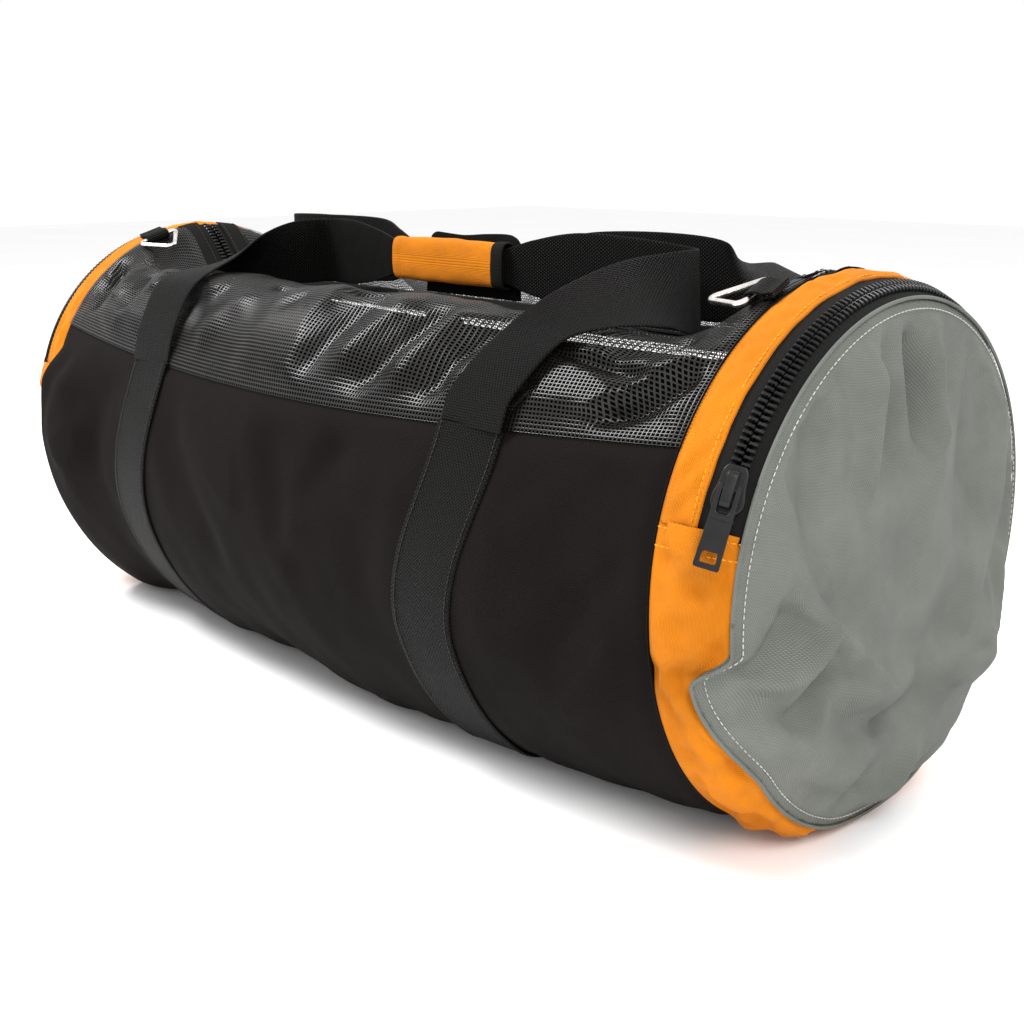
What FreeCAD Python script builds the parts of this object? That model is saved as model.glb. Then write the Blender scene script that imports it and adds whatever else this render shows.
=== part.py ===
import FreeCAD, Part
import math
import os

from FreeCAD import Vector

# A mesh-top gear duffel bag, standing on the two webbing straps that run
# round it.
# Millimetres. +X to the right end, -Y to the front, +Z up, origin under the
# middle of the bag on the surface that it rests on.

# --- driving dimensions ---------------------------------------------------
HOOP_X = 332.0          # half the length between the two end seams
HOOP_R = 158.0          # radius of an end seam
AXIS_Z = 160.0          # height of the bag's long axis
BULGE = 20.0            # how far the middle swells past the end seams
DEEPEN = 1.08           # the lower half is this much deeper than a circle
FLOOR_Z = 2.0           # underside of the fabric, on top of the straps
FLOOR_BLEND = 12.0      # how softly the round section meets its flat bottom
MESH_SEAM = 22.0        # angle above the front where fabric meets mesh
SEAM_RISE = 8.0         # how many degrees that seam climbs towards each end
ZIP_Z = 268.0           # height of the main zip, in the valley of the top
ZIP_FLAT_X = 268.0      # half the length over which the main zip lies level
ZIP_ANGLE = 84.0        # angle where each mesh panel ends beside the zip

GUSSET_REACH = 44.0     # how far the end band runs past the end seam along X
GUSSET_CURL = 12.0      # how much the end band curls over the end
GUSSET_DROP = 13.0      # how much smaller the end panel's seam is
DOME = 22.0             # how far the end panel bulges out
END_ZIP_FROM = 16.0     # angle where an end zip starts, above the front
BAND_SHARE = 0.45       # share of the gusset that the narrow band takes
TAPE_SHARE = 0.64       # outer tape runs from the band to here
CHAIN_MID = 0.72        # centre line of the end zip's teeth
CHAIN_SLIT = 0.014      # half the slit where the slider's web passes

FABRIC_T = 1.5
MESH_T = 1.0
WEB_T = 1.8             # webbing thickness
WEB_W = 50.0            # webbing width
STRAP_X = {1: 165.0, -1: -185.0}    # centre line of each girth strap
STRAP_LEAN = 34.0       # how far the front of each strap is drawn to the right
HINGE_LIFT = 4.6        # a handle's leg hinges this far off the fabric
GAP = 0.5               # between pieces that move apart

GRIP_X0 = -54.0         # ends of the padded grip
GRIP_X1 = 65.0
GRIP_Z = 303.0
GRIP_H = 29.0           # height and depth of the grip sleeve
GRIP_D = 11.0
BACK_STRAP_Y = 14.5     # the back handle's strap runs behind the grip

# Each handle's free run after its leg: x, y, z and the direction across the
# webbing where it crosses the shoulder, stands half on edge, stands on edge,
# and turns along the bag.
FRONT_LEFT_RUN = [
    (-165.0, -88.0, 297.0, (-1.0, 0.0, -0.25)),
    (-168.0, -55.0, 301.0, (-0.7, 0.0, -0.7)),
    (-158.0, -20.0, 302.0, (-0.1, 0.0, -1.0)),
    (-146.0, 3.0, 303.0, (0.0, 0.0, -1.0)),
]
FRONT_RIGHT_RUN = [
    (231.0, -104.0, 294.0, (1.0, 0.05, -0.27)),
    (239.0, -60.0, 301.0, (0.73, 0.0, -0.68)),
    (235.0, -14.0, 298.5, (0.2, 0.0, -1.0)),
    (226.0, 9.0, 298.0, (0.05, 0.0, -1.0)),
]
BACK_LEFT_RUN = [
    (-230.0, 116.0, 306.0, (-1.0, 0.0, -0.45)),
    (-242.0, 67.0, 306.0, (-0.6, 0.0, -0.8)),
    (-246.0, 48.0, 303.0, (-0.2, 0.0, -1.0)),
    (-238.0, 34.0, 303.0, (0.0, 0.0, -1.0)),
]
BACK_RIGHT_RUN = [
    (232.0, 116.0, 298.0, (1.0, 0.0, -0.3)),
    (240.0, 70.0, 299.0, (0.9, 0.0, -0.45)),
    (243.0, 48.0, 298.0, (0.7, 0.0, -0.7)),
    (232.0, 34.0, 301.0, (0.15, 0.0, -1.0)),
]

RING_WIRE_R = 1.9
TAB_ANGLE = 70.0        # where a ring tab is sewn, above the front


# --- the bag's surface ----------------------------------------------------
def smooth_step(t):
    t = min(1.0, max(0.0, t))
    return t * t * (3.0 - 2.0 * t)


def soft_floor(z, floor, blend):
    """z kept above floor, with a rounded corner of size blend."""
    h = z - floor
    if blend <= 0.0 or h >= blend:
        return max(z, floor)
    if h <= -blend:
        return floor
    return floor + blend / 4.0 * (1.0 + h / blend) ** 2


def zip_height(x):
    """Height of the main zip: level, then up to the end seams."""
    rise = AXIS_Z + HOOP_R - ZIP_Z
    return ZIP_Z + rise * smooth_step((abs(x) - ZIP_FLAT_X) / (HOOP_X - ZIP_FLAT_X))


def around(x, radius, angle, lift, blend):
    """A point of a cross-section: angle 0 is the front, 90 the top."""
    a = math.radians(angle)
    r = radius + lift
    depth = DEEPEN if math.sin(a) < 0.0 else 1.0
    z = AXIS_Z + r * math.sin(a) * depth
    return Vector(x, -r * math.cos(a), soft_floor(z, FLOOR_Z - lift, blend))


def seam_angle(x):
    """Angle of the seam between the lower panel and the mesh."""
    return MESH_SEAM + SEAM_RISE * (x / HOOP_X) ** 2


def back_seam_angle(x):
    return 180.0 - seam_angle(x)


def skin(x, angle, lift=0.0):
    """A point of the body between the end seams, lift above its outer face."""
    u = x / HOOP_X
    radius = HOOP_R + BULGE * (1.0 - u * u)
    p = around(x, radius, angle, lift, FLOOR_BLEND)
    top = 180.0 - 2.0 * MESH_SEAM
    across = (angle - MESH_SEAM) / top
    if 0.0 < across < 1.0:
        sag = AXIS_Z + radius - zip_height(x)
        p.z -= sag * math.sin(math.pi * across) ** 4
    return p


def gusset(side, share, angle, lift=0.0):
    """A point of the end band: share 0 at the end seam, 1 at the end panel."""
    reach = GUSSET_REACH + GUSSET_CURL
    x = HOOP_X + reach * share - GUSSET_CURL * share * share
    radius = HOOP_R - GUSSET_DROP * share * share
    slope_x = reach - 2.0 * GUSSET_CURL * share
    slope_r = -2.0 * GUSSET_DROP * share
    length = math.hypot(slope_x, slope_r)
    x -= lift * slope_r / length
    return around(side * x, radius, angle, lift * slope_x / length, FLOOR_BLEND)


# --- solid builders -------------------------------------------------------
def curve(points):
    spline = Part.BSplineCurve()
    spline.interpolate(points)
    return spline.toShape()


def line(a, b):
    return Part.LineSegment(a, b).toShape()


def between(first, last, count):
    return [first + (last - first) * i / (count - 1) for i in range(count)]


def loft(wires):
    solid = Part.makeLoft(wires, True, True)
    if solid.Volume < 0.0:
        solid.reverse()
    return solid


def body_strip(x0, x1, angle0, angle1, low, high, stations=25, per_section=15):
    """A band of the body between two angles, from lift low to lift high.

    Either angle may be a function of x."""
    wires = []
    for x in between(x0, x1, stations):
        ends = [a(x) if callable(a) else a for a in (angle0, angle1)]
        angles = between(*ends, per_section)
        outer = [skin(x, a, high) for a in angles]
        inner = [skin(x, a, low) for a in reversed(angles)]
        sides = [line(outer[-1], inner[0]), line(inner[-1], outer[0])]
        wires.append(Part.Wire([curve(outer), sides[0], curve(inner), sides[1]]))
    return loft(wires)


def gusset_section(side, share0, share1, low, high, angle):
    shares = between(share0, share1, 3)
    outer = [gusset(side, s, angle, high) for s in shares]
    inner = [gusset(side, s, angle, low) for s in reversed(shares)]
    return Part.makePolygon(outer + inner + [outer[0]])


def gusset_strip(side, share0, share1, low, high, angle0, angle1, stations=25):
    """A band of the gusset between two angles, which may cross the flat bottom."""
    angles = between(angle0, angle1, stations)
    return loft([gusset_section(side, share0, share1, low, high, a) for a in angles])


def gusset_arc(side, share0, share1, low, high, angle0, angle1):
    """The same on the round upper part, as a true arc about the bag's axis."""
    face = Part.Face(gusset_section(side, share0, share1, low, high, angle0))
    return face.revolve(Vector(0, 0, AXIS_Z), Vector(-1, 0, 0), angle1 - angle0)


def ring_wire(side, share, lift, scale=1.0, shift=0.0):
    """A closed outline of the end, scaled about the axis and shifted along X."""
    points = []
    for i in range(36):
        p = gusset(side, share, 10.0 * i, lift)
        z = AXIS_Z + (p.z - AXIS_Z) * scale
        points.append(Vector(p.x + side * shift, p.y * scale, z))
    spline = Part.BSplineCurve()
    spline.interpolate(points, True)
    return Part.Wire([spline.toShape()])


def dome(side, lift):
    """The solid inside the end panel's outer (lift 0) or inner face."""
    scales = [1.0, 0.93, 0.8, 0.6, 0.35, 0.1]
    wires = [ring_wire(side, 1.0, lift, k, DOME * (1.0 - k ** 2.5) + lift) for k in scales]
    return loft(wires)


def at_slope(centre, along, up):
    """Placement with local X along, local Z up, and local Y across."""
    z = Vector(up).normalize()
    x = (Vector(along) - z * Vector(along).dot(z)).normalize()
    y = z.cross(x)
    matrix = FreeCAD.Matrix(
        x.x, y.x, z.x, centre.x,
        x.y, y.y, z.y, centre.y,
        x.z, y.z, z.z, centre.z,
        0, 0, 0, 1)
    return FreeCAD.Placement(matrix)


def box(lx, ly, lz, centre=Vector(0, 0, 0)):
    corner = Vector(-lx / 2.0, -ly / 2.0, -lz / 2.0) + centre
    return Part.makeBox(lx, ly, lz, corner)


def rounded_plate(lx, ly, lz, radius, centre=Vector(0, 0, 0)):
    plate = box(lx, ly, lz, centre)
    upright = [e for e in plate.Edges if abs(e.tangentAt(e.FirstParameter).z) > 0.9]
    return plate.makeFillet(radius, upright)


def spline_points(points, per_span):
    """Centripetal Catmull-Rom through the points, per_span steps each."""
    knots = [points[0] * 2 - points[1]] + points + [points[-1] * 2 - points[-2]]
    result = []
    for i in range(1, len(knots) - 2):
        p0, p1, p2, p3 = knots[i - 1:i + 3]
        t0 = 0.0
        t1 = t0 + math.sqrt(max(p0.distanceToPoint(p1), 0.01))
        t2 = t1 + math.sqrt(max(p1.distanceToPoint(p2), 0.01))
        t3 = t2 + math.sqrt(max(p2.distanceToPoint(p3), 0.01))
        for k in range(per_span):
            t = t1 + (t2 - t1) * k / per_span
            a1 = p0 * ((t1 - t) / (t1 - t0)) + p1 * ((t - t0) / (t1 - t0))
            a2 = p1 * ((t2 - t) / (t2 - t1)) + p2 * ((t - t1) / (t2 - t1))
            a3 = p2 * ((t3 - t) / (t3 - t2)) + p3 * ((t - t2) / (t3 - t2))
            b1 = a1 * ((t2 - t) / (t2 - t0)) + a2 * ((t - t0) / (t2 - t0))
            b2 = a2 * ((t3 - t) / (t3 - t1)) + a3 * ((t - t1) / (t3 - t1))
            result.append(b1 * ((t2 - t) / (t2 - t1)) + b2 * ((t - t1) / (t2 - t1)))
    result.append(points[-1])
    return result


def webbing(stations, per_span=4):
    """A flat strap: stations are (centre, direction across, width, thickness)."""
    halves = [Vector(s[1]).normalize() * (s[2] / 2.0) for s in stations]
    left = spline_points([s[0] - h for s, h in zip(stations, halves)], per_span)
    right = spline_points([s[0] + h for s, h in zip(stations, halves)], per_span)
    thick = [s[3] for s in stations]
    centre = [(a + b) * 0.5 for a, b in zip(left, right)]
    wires = []
    for i in range(len(centre)):
        ahead = centre[min(i + 1, len(centre) - 1)] - centre[max(i - 1, 0)]
        normal = (right[i] - left[i]).cross(ahead).normalize()
        span, part = divmod(i, per_span)
        t0 = thick[span]
        t1 = thick[min(span + 1, len(thick) - 1)]
        half = normal * ((t0 + (t1 - t0) * part / per_span) / 2.0)
        corners = [left[i] + half, right[i] + half, right[i] - half, left[i] - half]
        wires.append(Part.makePolygon(corners + [corners[0]]))
    return loft(wires)


# --- fabric body ----------------------------------------------------------
def body_nodes(nodes):
    def under(x):
        return back_seam_angle(x) - 360.0

    nodes["lower_panel"] = body_strip(
        -HOOP_X, HOOP_X, seam_angle, under, -FABRIC_T, 0.0, per_section=45)
    nodes["front_mesh_panel"] = body_strip(
        -HOOP_X, HOOP_X, seam_angle, ZIP_ANGLE, -MESH_T, 0.0)
    nodes["back_mesh_panel"] = body_strip(
        -HOOP_X, HOOP_X, 180.0 - ZIP_ANGLE, back_seam_angle, -MESH_T, 0.0)


def main_zip_nodes(nodes):
    trim = box(2.0 * HOOP_X - 6.0, 200.0, 200.0, Vector(0, 0, ZIP_Z))
    bands = [
        ("zip_binding", 80.5, 86.2, 0.15, 1.15),
        ("zip_tape", 84.1, 88.3, -2.4, -1.5),
        ("zip_teeth", 88.4, 89.8, -3.6, 0.2),
    ]
    for name, a0, a1, low, high in bands:
        for half, ends in (("front_", (a0, a1)), ("back_", (180.0 - a1, 180.0 - a0))):
            band = body_strip(-HOOP_X, HOOP_X, *ends, low, high, per_section=4)
            nodes[half + name] = band.common(trim)
    stops = []
    for side in (-1, 1):
        for across in (-1, 1):
            p = Vector(side * (ZIP_FLAT_X + 3.0), across * 3.0, ZIP_Z + 4.4)
            stops.append(box(4.0, 4.4, 2.0, p))
    nodes["main_zip_stops"] = Part.makeCompound(stops)


def slider(width, length, rise, post_length):
    """A slider lying on a chain: plates above and below it, joined by a web."""
    top = rounded_plate(length, width, 2.4, 3.0, Vector(0, 0, 1.9))
    bottom = rounded_plate(length, width * 0.8, 1.6, 3.0, Vector(0, 0, -6.0))
    web = box(post_length, 0.5, 8.0, Vector(0, 0, -2.2))
    # The bridge over the top plate, with a hole for the pull's pin.
    bridge = box(length * 0.62, 4.6, rise, Vector(0, 0, 3.1 + rise / 2.0))
    hole = Part.makeCylinder(1.5, 8.0, Vector(0, -4.0, 3.1 + rise * 0.5), Vector(0, 1, 0))
    return top.fuse([bottom, web, bridge]).cut(hole).removeSplitter()


def pull(length, fork_width, tab_width, rise):
    """The pull, hung from the bridge's hole and lying towards -X."""
    pin_z = 3.1 + rise * 0.5
    start = Vector(0, -fork_width / 2.0, pin_z)
    pin = Part.makeCylinder(1.2, fork_width, start, Vector(0, 1, 0))
    arms = []
    for s in (-1, 1):
        arms.append(box(14.0, 2.4, 2.4, Vector(-6.0, s * (fork_width / 2.0 - 1.2), pin_z)))
    middle = Vector(-6.0 - length / 2.0, 0, pin_z)
    tab = rounded_plate(length - 10.0, tab_width, 2.2, 2.4, middle)
    slot = rounded_plate(8.0, tab_width - 6.0, 4.0, 1.0, Vector(-length + 7.0, 0, pin_z))
    return pin.fuse(arms + [tab]).cut(slot).removeSplitter()


def main_slider_nodes(nodes):
    start = Vector(-ZIP_FLAT_X + 22.0, 0, ZIP_Z + 0.4)
    place = at_slope(start, Vector(-1, 0, 0), Vector(0, 0, 1))
    body = slider(13.0, 24.0, 4.0, 9.0)
    tag = pull(36.0, 10.4, 10.5, 4.0)
    for name, shape in (("main_slider", body), ("main_pull", tag)):
        shape.Placement = place
        nodes[name] = shape


# --- ends -----------------------------------------------------------------
def end_nodes(nodes, side, name):
    zip_to = 180.0 - END_ZIP_FROM
    outline = Part.Face(ring_wire(side, 0.0, -FABRIC_T - 0.1))
    nodes[name + "_bulkhead"] = outline.extrude(Vector(-side * 1.2, 0, 0))
    nodes[name + "_upper_band"] = gusset_arc(
        side, 0.0, BAND_SHARE, -FABRIC_T, 0.0, END_ZIP_FROM, zip_to)
    nodes[name + "_lower_band"] = gusset_strip(
        side, 0.0, 1.0, -FABRIC_T, 0.0, END_ZIP_FROM, zip_to - 360.0, 45)
    shell = dome(side, 0.0).cut(dome(side, -FABRIC_T))
    nodes[name + "_end_panel"] = shell
    nodes[name + "_outer_tape"] = gusset_arc(
        side, BAND_SHARE, TAPE_SHARE, -1.6, -0.7, END_ZIP_FROM, zip_to)
    nodes[name + "_outer_teeth"] = gusset_arc(
        side, TAPE_SHARE + 0.005, CHAIN_MID - CHAIN_SLIT, -3.0, 0.9,
        END_ZIP_FROM + 2.0, zip_to - 2.0)
    nodes[name + "_inner_teeth"] = gusset_arc(
        side, CHAIN_MID + CHAIN_SLIT, 2.0 * CHAIN_MID - TAPE_SHARE - 0.005, -3.0, 0.9,
        END_ZIP_FROM + 2.0, zip_to - 2.0)
    nodes[name + "_inner_tape"] = gusset_arc(
        side, 2.0 * CHAIN_MID - TAPE_SHARE, 0.995, -1.6, -0.7, END_ZIP_FROM, zip_to)
    stops = []
    for angle in (END_ZIP_FROM, zip_to - 2.0):
        for s0, s1 in ((0.65, 0.705), (0.735, 0.79)):
            stops.append(gusset_arc(side, s0, s1, -0.6, 1.8, angle, angle + 1.9))
    nodes[name + "_zip_stops"] = Part.makeCompound(stops)


def end_slider_nodes(nodes, side, name):
    # The right slider is parked at the front, the left one at the back.
    angle = END_ZIP_FROM + 8.5 if side > 0 else 180.0 - END_ZIP_FROM - 8.5
    foot = gusset(side, CHAIN_MID, angle, 0.9)
    out = gusset(side, CHAIN_MID, angle, 2.9) - foot
    a = math.radians(angle)
    up_the_arc = Vector(0, math.sin(a), math.cos(a)) * side
    place = at_slope(foot, up_the_arc, out)
    body = slider(15.0, 25.0, 6.0, 7.0)
    tag = pull(40.0, 10.4, 13.0, 6.0)
    for part, shape in (("slider", body), ("pull", tag)):
        shape.Placement = place
        nodes[name + "_" + part] = shape


# --- webbing --------------------------------------------------------------
def strap_lean(angle):
    """How far a girth strap is drawn to the right at an angle."""
    return STRAP_LEAN * smooth_step((angle + 20.0) / (MESH_SEAM + 20.0))


def girth_strap(side):
    """Webbing sewn round the lower body, flat where it lies on the floor."""
    x = STRAP_X[side]
    sections = []
    for angle in between(seam_angle(x + STRAP_LEAN), back_seam_angle(x) - 360.0, 121):
        middle = x + strap_lean(angle)
        edges = (middle - WEB_W / 2.0, middle + WEB_W / 2.0)
        outer = [skin(e, angle, 2.1) for e in edges]
        inner = [skin(e, angle, 0.3) for e in reversed(edges)]
        sections.append(Part.makePolygon(outer + inner + [outer[0]]))
    return loft(sections).cut(box(200.0, 600.0, 10.0, Vector(x, 0, -5.0)))


def hinge_line(back):
    """A point of the line about which a handle's two legs swing, and each
    leg's x there."""
    legs = [x if back else x + STRAP_LEAN for x in (STRAP_X[-1], STRAP_X[1])]
    seam = back_seam_angle if back else seam_angle
    ends = [skin(x, seam(x), HINGE_LIFT) for x in legs]
    middle = (ends[0] + ends[1]) * 0.5
    return Vector(0, middle.y, middle.z), legs


def leg(side, back, shoulder_x):
    """The first stations of a handle's leg, from its seam up over the mesh."""
    hinge, legs = hinge_line(back)
    x = legs[1] if side > 0 else legs[0]
    inwards = -1.6 if back else 1.6
    places = [hinge + Vector(x, inwards, 3.6)]
    for angle, share, lift in ((34.0, 0.2, 6.0), (45.0, 0.6, 9.0)):
        round_to = 180.0 - angle if back else angle
        places.append(skin(x + (shoulder_x - x) * share, round_to, lift))
    return [(p, Vector(side, 0, 0), WEB_W, WEB_T) for p in places]


def handle_stations(back, left_run, right_run):
    """A handle from its left leg, along the grip, to its right leg."""
    folded = WEB_W / 2.0
    double = 2.0 * WEB_T

    def end(side, run):
        free = [(Vector(x, y, z), Vector(*across), WEB_W, WEB_T) for x, y, z, across in run]
        return leg(side, back, run[0][0]) + free

    grip_y = BACK_STRAP_Y if back else 0.0
    middle = []
    inside = (GRIP_X0, GRIP_X0 + 12.0, GRIP_X1 - 12.0, GRIP_X1)
    for x in (GRIP_X0 - 60.0, GRIP_X0 - 22.0) + inside + (GRIP_X1 + 22.0, GRIP_X1 + 60.0):
        apart = max(GRIP_X0 - x, x - GRIP_X1, 0.0)
        corner_y = (left_run if x < GRIP_X0 else right_run)[-1][1]
        y = grip_y + (corner_y - grip_y) * smooth_step(apart / 60.0)
        width = folded + (WEB_W - folded) * smooth_step(apart / 45.0)
        thick = WEB_T if apart > 10.0 else double
        middle.append((Vector(x, y, GRIP_Z), Vector(0, 0, -1), width, thick))
    return end(-1, left_run) + middle + list(reversed(end(1, right_run)))


def front_handle_nodes(nodes):
    stations = handle_stations(False, FRONT_LEFT_RUN, FRONT_RIGHT_RUN)
    nodes["front_handle_strap"] = webbing(stations)
    length = GRIP_X1 - GRIP_X0
    middle = Vector((GRIP_X0 + GRIP_X1) / 2.0, 0, GRIP_Z)
    sleeve = box(length, GRIP_D, GRIP_H, middle)
    along = [e for e in sleeve.Edges if abs(e.tangentAt(e.FirstParameter).x) > 0.9]
    sleeve = sleeve.makeFillet(4.5, along)
    hollow = box(length + 2.0, 2.0 * WEB_T + 0.6, WEB_W / 2.0 + 0.6, middle)
    sleeve = sleeve.cut(hollow)
    edge = 9.0
    cuts = [GRIP_X0 + edge, GRIP_X1 - edge]
    slab = box(length, 40.0, 60.0, Vector(0, 0, GRIP_Z))
    nodes["grip_sleeve"] = sleeve.common(box(cuts[1] - cuts[0], 40, 60, middle))
    slab.translate(Vector(cuts[0] - length / 2.0, 0, 0))
    nodes["grip_left_binding"] = sleeve.common(slab)
    slab.translate(Vector(cuts[1] - cuts[0] + length, 0, 0))
    nodes["grip_right_binding"] = sleeve.common(slab)
    # The hook-and-loop lining behind the sleeve, and its closing flap above.
    reach = 100.0
    x = GRIP_X1 + 7.0 - reach / 2.0
    y = GRIP_D / 2.0
    seam_z = GRIP_Z + 6.0
    lining_at = Vector(x, y + 1.0, seam_z - GAP / 2.0 - 13.0)
    nodes["grip_lining"] = box(reach, 2.0, 26.0, lining_at)
    flap = box(reach, 1.6, 14.0, Vector(x, y + 1.6, seam_z + GAP / 2.0 + 7.0))
    through = [e for e in flap.Edges if abs(e.tangentAt(e.FirstParameter).y) > 0.9]
    top_corners = [e for e in through if e.CenterOfMass.z > seam_z + 5.0]
    nodes["grip_flap"] = flap.makeFillet(9.0, top_corners)


def back_handle_nodes(nodes):
    stations = handle_stations(True, BACK_LEFT_RUN, BACK_RIGHT_RUN)
    nodes["back_handle_strap"] = webbing(stations)


# --- ring tabs and rings --------------------------------------------------
def ring_frame(side):
    """Placement of a ring's bar: local Y along the bar, local X off the seam."""
    a = math.radians(TAB_ANGLE)
    seat = skin(side * (HOOP_X - 15.0), TAB_ANGLE, 4.4)
    seam = skin(side * (HOOP_X - 3.0), TAB_ANGLE, 3.0)
    bar = Vector(0, math.sin(a), math.cos(a))
    away = seat - seam
    return at_slope(seat, away, away.cross(bar) * side)


def ring_nodes(nodes, side, name):
    place = ring_frame(side)
    half = 18.5
    height = 33.0
    bend = 4.0
    corners = [Vector(0, -half, 0), Vector(0, half, 0), Vector(height, 0, 0)]
    outline = Part.makePolygon(corners + [corners[0]])
    # Each corner is rounded by a tangent arc of the wire's bend radius.
    edges = []
    starts = []
    for i in range(3):
        p = corners[i]
        before = (corners[i - 1] - p).normalize()
        after = (corners[(i + 1) % 3] - p).normalize()
        half_turn = before.getAngle(after) / 2.0
        cut = bend / math.tan(half_turn)
        middle = (before + after).normalize() * (bend / math.sin(half_turn) - bend)
        a, b, c = p + before * cut, p + middle, p + after * cut
        edges.append(Part.Arc(a, b, c).toShape())
        starts.append((a, c))
    for i in range(3):
        edges.append(line(starts[i][1], starts[(i + 1) % 3][0]))
    path = Part.Wire(Part.__sortEdges__(edges))
    first = path.Edges[0]
    at = first.valueAt(first.FirstParameter)
    along = first.tangentAt(first.FirstParameter)
    section = Part.Wire([Part.makeCircle(RING_WIRE_R, at, along)])
    ring = path.makePipeShell([section], True, False)
    ring.Placement = place
    nodes[name + "_ring"] = ring
    # The tab: webbing folded round the bar, both ends sewn into the end seam.
    eye = RING_WIRE_R + 0.35
    wall = 1.5
    tab_w = 20.0
    back = -13.0
    outer = box(-back, tab_w, 2.0 * (eye + wall), Vector(back / 2.0, 0, 0))
    nose = Part.makeCylinder(eye + wall, tab_w, Vector(0, -tab_w / 2.0, 0), Vector(0, 1, 0))
    bore = Part.makeCylinder(eye, tab_w + 2.0, Vector(0, -tab_w / 2.0 - 1.0, 0), Vector(0, 1, 0))
    slot = box(-back, tab_w + 2.0, 0.6, Vector(back / 2.0, 0, 0))
    tab = outer.fuse(nose).cut(bore).cut(slot)
    tab.Placement = place
    nodes[name + "_ring_tab"] = tab


# --- everything -----------------------------------------------------------
def build():
    nodes = {}
    body_nodes(nodes)
    main_zip_nodes(nodes)
    main_slider_nodes(nodes)
    for side, name in ((1, "right"), (-1, "left")):
        end_nodes(nodes, side, name)
        end_slider_nodes(nodes, side, name)
        ring_nodes(nodes, side, name)
        nodes[name + "_girth_strap"] = girth_strap(side)
    front_handle_nodes(nodes)
    back_handle_nodes(nodes)
    return nodes


def main():
    os.makedirs("parts", exist_ok=True)
    nodes = build()
    for name in sorted(nodes):
        shape = nodes[name]
        if not shape.isValid():
            print("invalid:", name)
        print("%-22s solids %d volume %9.0f  z %6.1f..%6.1f" % (
            name, len(shape.Solids), shape.Volume, shape.BoundBox.ZMin, shape.BoundBox.ZMax))
        shape.exportStep("parts/%s.step" % name)
    print(len(nodes), "nodes")


main()
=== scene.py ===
"""A mesh-top gear duffel bag: cloth, mesh, webbing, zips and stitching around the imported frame.

Metres, in the part's own frame: +X to the right end, -Y to the front, +Z up.
An angle round the bag is in degrees: 0 is the front, 90 the top, 180 the back.
"""

import math

import bpy
import numpy as np
from mathutils import Matrix, Vector
from mathutils.geometry import delaunay_2d_cdt


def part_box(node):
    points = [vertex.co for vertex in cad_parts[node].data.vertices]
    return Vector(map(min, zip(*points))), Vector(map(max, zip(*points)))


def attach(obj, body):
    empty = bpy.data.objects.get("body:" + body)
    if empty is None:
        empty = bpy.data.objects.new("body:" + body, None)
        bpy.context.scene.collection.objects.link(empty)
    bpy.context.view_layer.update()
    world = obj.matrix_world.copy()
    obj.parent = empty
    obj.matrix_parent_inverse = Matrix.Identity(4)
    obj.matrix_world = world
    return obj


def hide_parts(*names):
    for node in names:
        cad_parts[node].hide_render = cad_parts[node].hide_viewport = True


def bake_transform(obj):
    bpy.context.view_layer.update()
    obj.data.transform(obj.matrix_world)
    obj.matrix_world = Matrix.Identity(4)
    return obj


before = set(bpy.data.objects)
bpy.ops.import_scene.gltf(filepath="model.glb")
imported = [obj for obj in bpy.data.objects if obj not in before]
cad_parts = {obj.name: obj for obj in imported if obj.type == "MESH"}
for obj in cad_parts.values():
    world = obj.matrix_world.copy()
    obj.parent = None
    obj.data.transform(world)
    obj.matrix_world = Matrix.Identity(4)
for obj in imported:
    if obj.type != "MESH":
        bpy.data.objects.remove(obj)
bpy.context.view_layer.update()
MM = 0.001

# --- the bag's shape, as in the part ---------------------------------------
HOOP_X = 0.332
HOOP_R = 0.158
AXIS_Z = 0.160
BULGE = 0.020
DEEPEN = 1.08
FLOOR_Z = 0.002
FLOOR_BLEND = 0.012
MESH_SEAM = 22.0
SEAM_RISE = 8.0
ZIP_Z = 0.268
ZIP_FLAT_X = 0.268
ZIP_ANGLE = 84.0
GUSSET_REACH = 0.044
GUSSET_CURL = 0.012
GUSSET_DROP = 0.013
DOME = 0.022
END_ZIP_FROM = 16.0
END_ZIP_TO = 180.0 - END_ZIP_FROM
BAND_SHARE = 0.45
TAPE_SHARE = 0.64
CHAIN_MID = 0.72
WEB_W = 0.050
WEB_T = 0.0018
STRAP_X = {1: 0.165, -1: -0.185}
STRAP_LEAN = 0.034
GRIP_X0 = -0.054
GRIP_X1 = 0.065
GRIP_Z = 0.303
GRIP_H = 0.029
GRIP_D = 0.011
GRIP_EDGE = 0.009
BACK_STRAP_Y = 0.0145
RING_WIRE_R = 0.0019
TAB_ANGLE = 70.0
CLOTH_R = 0.17            # radius by which an angle round the body is turned into cloth
PANEL_R = HOOP_R - GUSSET_DROP
BAND_CLOTH = 0.05         # cloth from an end seam to the end panel
PARKED = 8.5              # degrees from a zip's end to its parked slider
BINDING_ANGLES = (79.5, 86.4)
TAPE_ANGLES = (84.1, 88.6)
TOOTH_ANGLE = 88.8
SIDES = ((1, "right"), (-1, "left"))

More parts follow.
